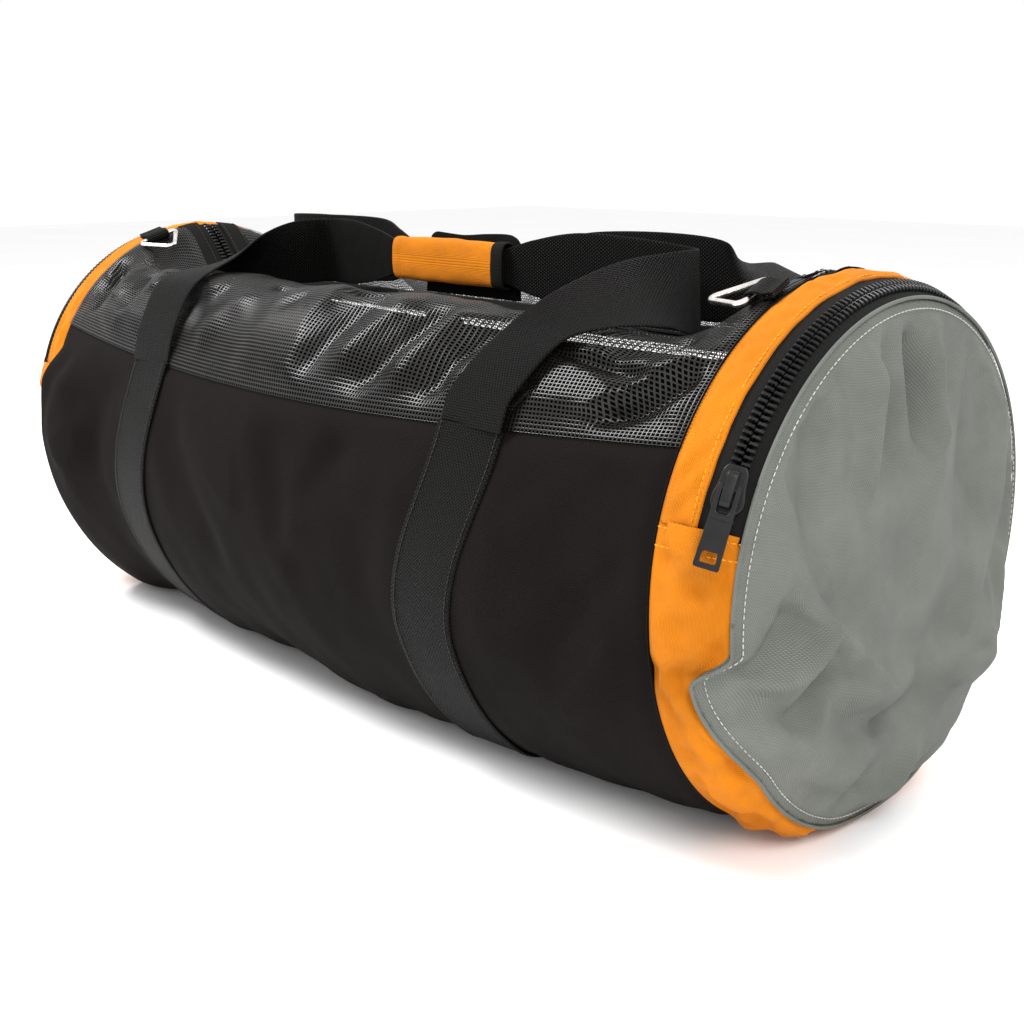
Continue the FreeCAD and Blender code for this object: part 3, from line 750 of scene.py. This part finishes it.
def pull_parts(length, tab_width, rise):
    """Pull: a pin through the bridge, two arms and a tapered tab with a slot near its end."""
    w = tab_width / 2.0
    mid = 3.1 + rise / 2.0
    outline = [(2.2, 5.7), (-12.0, 5.9), (-length, w), (-length, -w), (-12.0, -5.9), (2.2, -5.7),
               (2.2, -3.2), (-12.5, -3.2), (-12.5, 3.2), (2.2, 3.2)]
    slot = [(-length + 3.0, w - 2.4), (-length + 8.6, w - 2.6),
            (-length + 8.6, 2.6 - w), (-length + 3.0, 2.4 - w)]
    tab = plate([rounded(outline, 1.6), rounded(slot, 1.4)], mid - 1.1, mid + 1.1, 0.45)
    bar = [(-13.4, 5.2), (-15.6, 5.2), (-15.6, -5.2), (-13.4, -5.2)]
    rib = plate([rounded(bar, 0.6)], mid - 0.8, mid + 1.6, 0.35)
    angles = np.linspace(0.0, 2.0 * math.pi, 13)[:-1]
    ring = np.stack([1.1 * np.cos(angles), 0 * angles, mid + 1.1 * np.sin(angles)], -1)
    pin = np.concatenate([ring + (0.0, -3.4, 0.0), ring + (0.0, 3.4, 0.0)]) * MM
    return merge([tab, rib, (pin, quads(2, 12, wrap_columns=True))])


def zip_slider(prefix, place, rise, width, length, tab_width):
    for part, shape in (("slider", slider_parts(rise, width)), ("pull", pull_parts(length, tab_width, rise))):
        name = prefix + "_" + part
        points, faces = moved(shape, place)
        obj = make(name + "_cast", points, faces, name, SLIDER, slot="zip_slider", replaces=[name])
        obj.data.set_sharp_from_angle(angle=math.radians(35.0))


def sliders():
    start = Vector((-ZIP_FLAT_X + 0.022, 0.0, ZIP_Z + 0.0004))
    zip_slider("main", at_slope(start, (-1, 0, 0), (0, 0, 1)), 4.0, 13.0, 36.0, 10.5)
    for side, name in SIDES:
        # The right slider is parked at the front, the left one at the back.
        angle = END_ZIP_FROM + PARKED if side > 0 else END_ZIP_TO - PARKED
        foot = gusset(side, CHAIN_MID, angle, 0.0009)
        out = gusset(side, CHAIN_MID, angle, 0.0029) - foot
        a = math.radians(angle)
        ahead = (0, side * math.sin(a), side * math.cos(a))
        zip_slider(name, at_slope(foot, ahead, out), 6.0, 15.0, 40.0, 13.0)


# --- ends ------------------------------------------------------------------
def pinch(side, angle):
    """How far the end panel's seam is pulled towards the bag where the band folds under."""
    below = -((angle + 180.0) % 360.0 - 180.0)
    rise = smooth((below - 7.0) / 6.0) * (1.0 - smooth((below - 13.0) / 27.0))
    return 0.5 * rise if side > 0 else 0.25 * rise


def band_relief(share, angle, seed):
    """Cross wrinkles of an end band, calm at its seams."""
    across = share * 0.046
    round_ = np.radians(angle) * HOOP_R
    calm = smooth(np.minimum(share, 1.0 - share) / 0.2)
    large = 0.0030 * ripples(across * 1.4, round_, seed, 0.045)
    return (large + 0.0020 * ripples(across, round_, seed + 1, 0.020)) * calm


def band_piece(name, part, angle, down, points, thickness):
    """A yellow band round an end, down metres of cloth from the end seam."""
    grid_piece(name + "_" + part + "_yellow", points, np.radians(angle) * HOOP_R, down, "bag", YELLOW,
               thickness, slot="yellow_fabric", replaces=[name + "_" + part + "_band"])


def end_bands(side, name):
    # Upper band, between the end seam and the zip tape, its zip edge folded under.
    share, angle = grid(np.linspace(0.0, BAND_SHARE, 13), np.linspace(END_ZIP_FROM, END_ZIP_TO, 170))
    down = share * BAND_CLOTH
    relief = 0.35 * band_relief(share / BAND_SHARE, angle, 21) + seam_roll(down)
    band_piece(name, "upper", angle, down, gusset(side, share, angle, relief), 0.0016)
    # Lower band, round the bottom and up the back.
    angles = np.linspace(END_ZIP_FROM + 0.5, END_ZIP_TO - 360.5, 330)
    t, angle = grid(np.linspace(0.0, 1.0, 30), angles)
    squeeze = pinch(side, angle)
    down = t * BAND_CLOTH
    relief = band_relief(t, angle, 31) + seam_roll(down) + seam_roll((1.0 - t) * BAND_CLOTH, 0.0014)
    crease = smooth((END_ZIP_FROM - angle - 24.0) / 4.0) * np.exp(-((angle + 12.0) / 3.0) ** 2)
    relief = relief - 0.006 * squeeze * np.sin(np.pi * t) - 0.002 * crease
    points = gusset(side, t * (1.0 - squeeze), angle, np.minimum(relief, 0.0034))
    band_piece(name, "lower", angle, down, points, 0.0012)


END_FOLDS = [
    # Across the end panel and up it from the bag's axis, both in mm, seen on the right end.
    (-44, 128, -52, 48, 9, 4.5), (-26, 132, -24, 60, 8, -4.5), (0, 134, 4, 70, 7, -7.0),
    (16, 132, 22, 66, 9, 4.0), (-78, 108, -92, 40, 10, -3.0), (-104, 4, -132, -30, 7, -6.0),
    (-84, 0, -124, -44, 8, 5.5),
    (-66, -14, -104, -62, 8, -4.5), (-70, -48, 10, -54, 9, 4.0), (-50, -70, 30, -66, 10, -4.0),
    (20, -46, 88, -66, 9, 4.5), (0, -92, -20, -138, 8, 3.5), (-36, -94, -44, -136, 7, -4.0),
    (50, 70, 90, 20, 14, -3.0), (60, -10, 110, -40, 12, 3.0),
]


def panel_point(side, y, z):
    """Points of the end panel from their flat places, in metres from the middle of its disc."""
    k = np.minimum(np.hypot(y, z) / PANEL_R, 1.0)
    angle = np.degrees(np.arctan2(z, -y))
    near_edge = smooth((k - 0.72) / 0.28)
    ring = gusset(side, 1.0 - pinch(side, angle) * near_edge, angle)
    x = ring[..., 0] + side * DOME * (1.0 - k ** 2.5)
    return np.stack([x, ring[..., 1] * k, AXIS_Z + (ring[..., 2] - AXIS_Z) * k], -1)


def disc_points(radius, spacing):
    """Rim points of a disc and a close triangular lattice inside it."""
    turn = np.arange(RIM_POINTS) * 2.0 * math.pi / RIM_POINTS
    edge = np.stack([np.cos(turn), np.sin(turn)], -1) * radius
    steps = np.arange(-int(radius / spacing) - 2, int(radius / spacing) + 3)
    i, j = grid(steps, steps)
    inner = np.stack([(i + 0.5 * (j % 2)) * spacing, j * spacing * 0.866], -1).reshape(-1, 2)
    inner = inner[np.hypot(inner[:, 0], inner[:, 1]) < radius - spacing * 0.6]
    return np.concatenate([edge, inner])


def settle(obj, pinned, frames, spare, pressure, cap):
    """Cloth simulation from the shape it has, with some spare cloth, hung by its pinned rim."""
    start = np.array([v.co for v in obj.data.vertices])
    group = obj.vertex_groups.new(name="pinned")
    group.add([int(i) for i in pinned], 1.0, "REPLACE")
    cloth = obj.modifiers.new("cloth", "CLOTH")
    wanted = dict(
        vertex_group_mass="pinned", quality=6, mass=0.25, tension_stiffness=20.0, compression_stiffness=20.0,
        shear_stiffness=8.0, bending_stiffness=0.35, shrink_min=-spare, shrink_max=-spare,
        use_pressure=True, uniform_pressure_force=pressure)
    for name, value in wanted.items():
        setattr(cloth.settings, name, value)
    cloth.collision_settings.use_collision = False
    for step in range(1, frames + 1):
        bpy.context.scene.frame_set(step)
    shape = obj.evaluated_get(bpy.context.evaluated_depsgraph_get())
    settled = np.array([v.co for v in shape.data.vertices])
    obj.modifiers.remove(cloth)
    bpy.context.scene.frame_set(1)
    shift = settled - start
    length = np.linalg.norm(shift, axis=1)[:, None]
    shift *= np.minimum(1.0, cap / np.maximum(length, 1e-9))
    shaped = start + shift
    shaped[:, 2] = np.maximum(shaped[:, 2], FLOOR_Z + 0.001)
    obj.data.vertices.foreach_set("co", shaped.astype(np.float32).ravel())
    obj.data.update()


def end_cloth(side, name):
    rim = [(i, (i + 1) % RIM_POINTS) for i in range(RIM_POINTS)]
    made = delaunay_2d_cdt([Vector(p) for p in disc_points(PANEL_R, LATTICE)], rim, [], 1, 1e-6)
    flat = np.array([tuple(p) for p in made[0]])
    y, z = flat[:, 0], flat[:, 1]
    points = panel_point(side, y, z)
    edge = PANEL_R - np.hypot(y, z)
    mirrored = y if side > 0 else -y
    out = 2.3 * folds(mirrored, z, END_FOLDS) + 0.0026 * ripples(y, z, 41, 0.07)
    out = out * smooth((edge - 0.006) / 0.022) + seam_roll(edge, 0.0010, 0.004)
    points[:, 0] += side * out
    faces = [f if side < 0 else tuple(reversed(f)) for f in made[2]]
    obj = make(name + "_grey_cloth", points, faces, None, GREY, flat, slot="grey_fabric")
    # Outward normals, whichever way the triangles came.
    obj.data.update()
    if side * sum(p.normal.x for p in obj.data.polygons) < 0:
        obj.data.flip_normals()
    pinned = np.flatnonzero(edge < 0.009)
    settle(obj, pinned, frames=22, spare=0.045, pressure=0.5, cap=0.010)
    smoother = obj.modifiers.new("smooth", "SUBSURF")
    smoother.levels = smoother.render_levels = 2
    thicken(obj, 0.0011)
    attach(obj, "bag")
    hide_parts(name + "_end_panel")


def tube(line, radius, sides):
    """A thin round cord along a closed line of points, as (points, faces)."""
    along = unit(np.roll(line, -1, 0) - np.roll(line, 1, 0))
    first = unit(np.cross(along, (1.0, 0.0, 0.0)))
    second = np.cross(along, first)
    turn = np.linspace(0.0, 2.0 * math.pi, sides, endpoint=False)
    circle = first[:, None] * np.cos(turn)[None, :, None] + second[:, None] * np.sin(turn)[None, :, None]
    points = line[:, None] + circle * radius
    return points.reshape(-1, 3), quads(len(line), sides, wrap_rows=True, wrap_columns=True)


def end_trim(side, name):
    """Piping, zip tapes, teeth, stitching and the inner wall of one end."""
    count = 360
    sides = 10
    angle = np.linspace(0.0, 360.0, count + 1)[:-1]
    ring = gusset(side, 1.0 - pinch(side, angle) - 0.004, angle, 0.0006)
    points, faces = tube(ring, 0.0011, sides)
    arc = np.repeat(np.arange(count) * 0.0027, sides)
    turn = np.tile(np.arange(sides) * 0.0007, count)
    make(name + "_piping", points, faces, "bag", GREY, np.stack([arc, turn], -1), slot="grey_fabric")
    for part, s0, s1, lift in (
            ("outer_tape", BAND_SHARE - 0.03, TAPE_SHARE + 0.02, -0.0012),
            ("inner_tape", 2 * CHAIN_MID - TAPE_SHARE - 0.02, 1.0, -0.0008)):
        share, a = grid(np.linspace(s0, s1, 8), np.linspace(END_ZIP_FROM - 1.0, END_ZIP_TO + 1.0, 200))
        points = gusset(side, share, a, lift)
        grid_piece(name + "_" + part + "_weave", points, np.radians(a) * HOOP_R, share * BAND_CLOTH,
                   "bag", TAPE, 0.0008, slot="zip_tape", replaces=[name + "_" + part])
    a = np.linspace(END_ZIP_FROM + 1.5, END_ZIP_TO - 1.5, 400)
    middle = gusset(side, CHAIN_MID, a, 0.0)
    for part, share, shift in (("outer_teeth", 0.664, 0.0), ("inner_teeth", 0.777, 1.0)):
        line = gusset(side, share, a, 0.0)
        teeth(name + "_" + part + "_row", line, middle - line, shift, [name + "_" + part])
    # Stitching: beside the end seam and the zip on the yellow, and inside the grey panel's edge.
    rows = {"gold": [], "light": []}
    upper = np.linspace(END_ZIP_FROM + 1.0, END_ZIP_TO - 1.0, 400)
    line = gusset(side, BAND_SHARE - 0.07, upper, 0.0004)
    rows["gold"].append(stitches(line, gusset(side, BAND_SHARE - 0.02, upper, 0.0004) - line))
    for start in (END_ZIP_FROM - 0.8, END_ZIP_FROM - 4.2):
        for flip in (False, True):
            share = np.linspace(0.02, 0.98, 60)
            at = facing(start, flip)
            line = gusset(side, share, at, 0.0004)
            rows["gold"].append(stitches(line, gusset(side, share, at + 1.0, 0.0004) - line))
    full = np.linspace(0.0, 360.0, 900)
    rad = np.radians(full)
    inset = PANEL_R - 0.0052
    line = panel_point(side, -inset * np.cos(rad), inset * np.sin(rad))
    line[:, 0] += side * 0.0006
    outward = panel_point(side, -(inset + 0.002) * np.cos(rad), (inset + 0.002) * np.sin(rad)) - line
    rows["light"].append(stitches(line, outward))
    sew(name + "_gold_stitching", rows["gold"], GOLD_THREAD, "yellow_fabric")
    sew(name + "_light_stitching", rows["light"], LIGHT_THREAD, "grey_fabric")
    # The wall between the end pocket and the main compartment.
    k, a = grid(np.linspace(0.02, 1.0, 30), np.linspace(0.0, 360.0, 121))
    ring = gusset(side, 0.0, a, -0.0016)
    out = 0.004 * (1.0 - k ** 2) + 0.0016 * ripples(ring[..., 1] * k, ring[..., 2] * k, 51, 0.08) * (1.0 - k)
    depth = ring[..., 0] - side * (0.0006 + out)
    wall = np.stack([depth, ring[..., 1] * k, AXIS_Z + (ring[..., 2] - AXIS_Z) * k], -1)
    grid_piece(name + "_inner_wall", wall, wall[..., 1], wall[..., 2], "bag", LINING, 0.0008,
               slot="black_fabric", replaces=[name + "_bulkhead"])


# --- webbing ---------------------------------------------------------------
def spline_points(points, per_span):
    """Centripetal Catmull-Rom through the points, per_span steps each."""
    points = [Vector(p) for p in points]
    knots = [points[0] * 2 - points[1]] + points + [points[-1] * 2 - points[-2]]
    result = []
    for i in range(1, len(knots) - 2):
        p = knots[i - 1:i + 3]
        times = [0.0]
        for before, after in zip(p, p[1:]):
            times.append(times[-1] + math.sqrt(max((after - before).length, 1e-5)))
        for k in range(per_span):
            t = times[1] + (times[2] - times[1]) * k / per_span
            layer = p
            for spans in (((0, 1), (1, 2), (2, 3)), ((0, 2), (1, 3)), ((1, 2),)):
                ends = [(times[m], times[n]) for m, n in spans]
                layer = [a * ((t1 - t) / (t1 - t0)) + b * ((t - t0) / (t1 - t0))
                         for a, b, (t0, t1) in zip(layer, layer[1:], ends)]
            result.append(layer[0])
    result.append(points[-1])
    return np.array([tuple(p) for p in result])


def strap_from_edges(left, right, thickness):
    """A woven strap between two edge lines: points (n, m, 3) and its cloth coordinates."""
    centre = (left + right) / 2.0
    normal = unit(np.cross(right - left, np.gradient(centre, axis=0)))
    width = np.linalg.norm(right - left, axis=1)
    length = lengths(centre)
    # Round the cross-section: thick selvages and a flat middle.
    s = np.array([-1.0, -0.97, -0.9, -0.6, -0.3, 0.0, 0.3, 0.6, 0.9, 0.97, 1.0])
    half = np.array([0.35, 0.9, 1.0, 0.92, 0.92, 0.92, 0.92, 0.92, 1.0, 0.9, 0.35])
    section = np.concatenate([np.stack([s, half], -1), np.stack([s, -half], -1)[::-1]])
    across = section[:, 0][None, :, None]
    up = section[:, 1][None, :, None] * np.asarray(thickness).reshape(-1, 1, 1) / 2.0
    points = centre[:, None] + (right - left)[:, None] / 2.0 * across + normal[:, None] * up
    u = section[:, 0][None, :] * width[:, None] / 2.0
    v = np.broadcast_to(length[:, None], u.shape)
    return points, u, v


def strap_piece(name, left, right, thickness, body, replaces=()):
    points, u, v = strap_from_edges(left, right, thickness)
    n, m = points.shape[:2]
    faces = [tuple(f) for f in quads(n, m, wrap_columns=True)]
    faces.append(tuple(range(m)))
    faces.append(tuple(reversed(range((n - 1) * m, n * m))))
    uv = np.stack([u, v], -1).reshape(-1, 2)
    obj = make(name, points.reshape(-1, 3), faces, body, WEBBING, uv, slot="webbing", replaces=replaces)
    obj.data.set_sharp_from_angle(angle=math.radians(60.0))
    return obj


def girth_straps():
    for side, name in SIDES:
        x = STRAP_X[side]
        angle = np.linspace(seam_angle(x + STRAP_LEAN), -180.0 - seam_angle(x), 260)
        middle = x + strap_lean(angle)
        left = skin(middle - WEB_W / 2.0, angle, 0.0011)
        right = skin(middle + WEB_W / 2.0, angle, 0.0011)
        strap_piece(name + "_girth_webbing", left, right, WEB_T, "bag", [name + "_girth_strap"])
        rows = []
        for edge in (-1, 1):
            line = skin(middle + edge * (WEB_W / 2.0 - STITCH_INSET), angle, 0.0020)
            keep = line[:, 2] > 0.0035
            for part in (line[keep & (line[:, 1] < 0)], line[keep & (line[:, 1] > 0)]):
                across = np.tile((1.0, 0.0, 0.0), (len(part), 1))
                rows.append(stitches(part, across))
        sew(name + "_girth_stitching", rows, DARK_THREAD, "webbing")


def leg_x(side, back):
    """Where a handle's leg leaves the seam."""
    return STRAP_X[side] + (0.0 if back else STRAP_LEAN)


def leg(side, back, shoulder_x):
    x = leg_x(side, back)
    seam = seam_angle(x)
    spots = [(seam - 0.4, 0.0, 0.0011), (seam + 5.0, 0.04, 0.0042), (34.0, 0.2, 0.0060), (45.0, 0.6, 0.0090)]
    result = []
    for angle, share, lift in spots:
        p = skin(x + (shoulder_x - x) * share, facing(angle, back), lift)
        result.append((Vector(p), Vector((side, 0, 0)), WEB_W, WEB_T))
    return result


def handle_stations(back, left_run, right_run):
    """A handle from its left leg, along the grip, to its right leg, as in the part."""
    folded = WEB_W / 2.0
    double = 2.0 * WEB_T

    def end(side, run):
        free = [(Vector((x, y, z)) * MM, Vector(across), WEB_W, WEB_T) for x, y, z, across in run]
        return leg(side, back, run[0][0] * MM) + free

    grip_y = BACK_STRAP_Y if back else 0.0
    middle = []
    inside = (GRIP_X0, GRIP_X0 + 0.012, GRIP_X1 - 0.012, GRIP_X1)
    for x in (GRIP_X0 - 0.060, GRIP_X0 - 0.022) + inside + (GRIP_X1 + 0.022, GRIP_X1 + 0.060):
        apart = max(GRIP_X0 - x, x - GRIP_X1, 0.0)
        corner_y = (left_run if x < GRIP_X0 else right_run)[-1][1] * MM
        y = grip_y + (corner_y - grip_y) * float(smooth(apart / 0.060))
        width = folded + (WEB_W - folded) * float(smooth(apart / 0.045))
        thick = WEB_T if apart > 0.010 else double
        middle.append((Vector((x, y, GRIP_Z)), Vector((0, 0, -1)), width, thick))
    return end(-1, left_run) + middle + list(reversed(end(1, right_run)))


def handle(name, back, left_run, right_run):
    stations = handle_stations(back, left_run, right_run)
    halves = [s[1].normalized() * (s[2] / 2.0) for s in stations]
    steps = 12
    left = spline_points([s[0] - h for s, h in zip(stations, halves)], steps)
    right = spline_points([s[0] + h for s, h in zip(stations, halves)], steps)
    at = np.arange(len(left)) / steps
    thickness = np.interp(at, np.arange(len(stations)), [s[3] for s in stations])
    obj = strap_piece(name + "_webbing", left, right, thickness, None)
    x = leg_x(1, back)
    low, high = seam_angle(x) + 0.5, 33.0
    start = skin(x, facing(low, back), 0.002)
    end = skin(x, facing(high, back), 0.006)
    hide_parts(name + "_strap")
    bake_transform(obj)


def handles():
    handle("front_handle", False, FRONT_LEFT_RUN, FRONT_RIGHT_RUN)
    handle("back_handle", True, BACK_LEFT_RUN, BACK_RIGHT_RUN)


def sleeve(name, node, x0, x1, swell, material, slot, tuck):
    """A length of the padded grip: a rounded tube that crowns between its ends."""
    t, turn = grid(np.linspace(0.0, 1.0, 60), np.linspace(0.0, 360.0, 73)[:-1])
    a = np.radians(turn)
    crown = 1.0 - tuck * (1.0 - np.sin(np.pi * t) ** 0.35)
    power = 2.0 / 3.2
    y = np.sign(np.cos(a)) * np.abs(np.cos(a)) ** power * (GRIP_D / 2.0 + swell) * crown
    height = (GRIP_H / 2.0 + swell) * (1.0 - 0.35 * (1.0 - crown))
    z = np.sign(np.sin(a)) * np.abs(np.sin(a)) ** power * height
    x = x0 + (x1 - x0) * t
    round_ = a * 0.013
    bulge = 1.0 + 0.07 * ripples(x, z, 61, 0.035) + 0.02 * ripples(x, z, 62, 0.015)
    points = np.stack([x, y * bulge, GRIP_Z + z * (1.0 + 0.25 * (bulge - 1.0))], -1)
    n, m = points.shape[:2]
    uv = np.stack([x, round_], -1).reshape(-1, 2)
    obj = make(name, points.reshape(-1, 3), quads(n, m, wrap_columns=True), "front_handle", material, uv,
               slot=slot, replaces=[node])
    return thicken(obj, 0.0012)


def grip():
    edge = GRIP_EDGE
    cover = sleeve("grip_padding", "grip_sleeve", GRIP_X0 + edge, GRIP_X1 - edge, 0.0004, YELLOW,
                   "yellow_fabric", 0.16)
    sleeve("grip_left_edge", "grip_left_binding", GRIP_X0, GRIP_X0 + edge, 0.0002, YELLOW,
           "yellow_fabric", 0.3)
    sleeve("grip_right_edge", "grip_right_binding", GRIP_X1 - edge, GRIP_X1 + 0.001, 0.0010, LINING,
           "binding_tape", 0.1)
    # The lining hangs behind the sleeve; the flap stands above it on its sewn line.
    low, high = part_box("grip_lining")
    x, z = grid(np.linspace(low.x, high.x, 60), np.linspace(low.z - 0.004, high.z, 20))
    y = (low.y + high.y) / 2.0 + 0.0007 * ripples(x, z, 71, 0.03)
    grid_piece("grip_lining_pile", np.stack([x, y, z], -1), x, z, "front_handle", HOOKS, 0.0018,
               slot="binding_tape", replaces=["grip_lining"]).modifiers[0].offset = 0.0
    low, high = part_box("grip_flap")
    t, s = grid(np.linspace(0.0, 1.0, 70), np.linspace(0.0, 1.0, 24))
    corner = 0.012
    from_end = np.minimum(t, 1.0 - t) * (high.x - low.x)
    arc = corner - np.sqrt(np.maximum(corner ** 2 - (corner - from_end) ** 2, 0.0))
    cut = np.where(from_end < corner, arc, 0.0)
    top = high.z - cut - 0.0007 * (1.0 + ripples(t * 0.1, 0 * t, 72, 0.05))
    x = low.x + (high.x - low.x) * t
    z = low.z + (top - low.z) * s
    y = (low.y + high.y) / 2.0 + 0.003 * s ** 2 + 0.0009 * ripples(x, z, 73, 0.035) * s
    flap = grid_piece("grip_flap_cloth", np.stack([x, y, z], -1), x, z, "grip_flap", HOOKS, 0.0030,
                      slot="binding_tape", replaces=["grip_flap"])
    flap.modifiers[0].offset = 0.0
    bevel = flap.modifiers.new("edge", "BEVEL")
    bevel.width = 0.0010
    bevel.segments = 3


# --- ring tabs -------------------------------------------------------------
def ring_place(side):
    a = math.radians(TAB_ANGLE)
    seat = Vector(skin(side * (HOOP_X - 0.015), TAB_ANGLE, 0.0044))
    seam = Vector(skin(side * (HOOP_X - 0.003), TAB_ANGLE, 0.003))
    bar = Vector((0, math.sin(a), math.cos(a)))
    away = seat - seam
    return at_slope(seat, away, away.cross(bar) * side)


def ring_tab(side, name):
    """Webbing folded round the ring's bar, its two layers sewn into the end seam."""
    gap = RING_WIRE_R + 0.0011
    back = -0.0145
    path = [(back, 0.0010), (-0.008, 0.0014), (-0.0035, gap)]
    nose = np.radians(np.linspace(80.0, -80.0, 9))
    path += [(gap * math.cos(t), gap * math.sin(t)) for t in nose]
    path += [(-0.0035, -gap), (-0.008, -0.0014), (back, -0.0010)]
    place = np.array(ring_place(side))
    edges = []
    for y in (-0.0100, 0.0100):
        local = np.array([(x, y, z) for x, z in path])
        edges.append(spline_points(local, 4) @ place[:3, :3].T + place[:3, 3])
    strap_piece(name + "_tab_webbing", edges[0], edges[1], 0.0014, "bag", [name + "_ring_tab"])


def cad_looks():
    """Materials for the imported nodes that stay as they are."""
    looks = {"right_ring": STEEL, "left_ring": STEEL, "main_zip_stops": TEETH,
             "right_zip_stops": TEETH, "left_zip_stops": TEETH}
    for node, material in looks.items():
        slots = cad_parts[node].material_slots
        if not slots:
            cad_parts[node].data.materials.append(material)
        for slot in slots:
            slot.material = material


# --- studio ----------------------------------------------------------------
def studio():
    floor_look = Look("floor", (0.94, 0.94, 0.94), 0.7)
    floor_look.shades(floor_look.noise(floor_look.place(), 3.0), 0.99, 1.01)
    h = FLOOR_SIZE / 2.0
    corners = [(-h, -h, 0), (h, -h, 0), (h, h, 0), (-h, h, 0)]
    floor = make("floor", corners, [(0, 1, 2, 3)], None, floor_look.material)
    world = bpy.data.worlds.new("studio")
    world.use_nodes = True
    light_inputs = world.node_tree.nodes["Background"].inputs
    light_inputs["Color"].default_value = (1.0, 1.0, 1.0, 1.0)
    light_inputs["Strength"].default_value = 1.0
    bpy.context.scene.world = world
    bpy.context.scene.view_settings.view_transform = "Standard"
    for name, place, size, power in (
            ("key", (-0.9, -0.8, 1.7), 0.6, 42.0),
            ("fill", (1.5, -0.9, 1.5), 0.7, 24.0),
            ("back", (0.5, 1.4, 1.6), 0.8, 16.0)):
        data = bpy.data.lights.new(name, "AREA")
        data.size = size
        data.energy = power
        light = bpy.data.objects.new(name, data)
        light.location = place
        light.rotation_euler = (Vector((0.0, 0.0, 0.15)) - Vector(place)).to_track_quat("-Z", "Y").to_euler()
        bpy.context.scene.collection.objects.link(light)


def camera():
    data = bpy.data.cameras.new("camera")
    data.sensor_width = 36.0
    data.lens = 45.72
    cam = bpy.data.objects.new("camera", data)
    cam.location = (0.730, -0.634, 0.381)
    target = Vector((0.0702, 0.0, 0.1264))
    cam.rotation_euler = (target - cam.location).to_track_quat("-Z", "Y").to_euler()
    bpy.context.scene.collection.objects.link(cam)
    bpy.context.scene.camera = cam


# --- everything ------------------------------------------------------------
lower_fabric()
mesh_panel("front", False, 6)
mesh_panel("back", True, 7)
main_zip()
sliders()
for SIDE, END in SIDES:
    end_bands(SIDE, END)
    end_cloth(SIDE, END)
    end_trim(SIDE, END)
    ring_tab(SIDE, END)
girth_straps()
handles()
grip()
cad_looks()
studio()
camera()

bpy.context.view_layer.update()
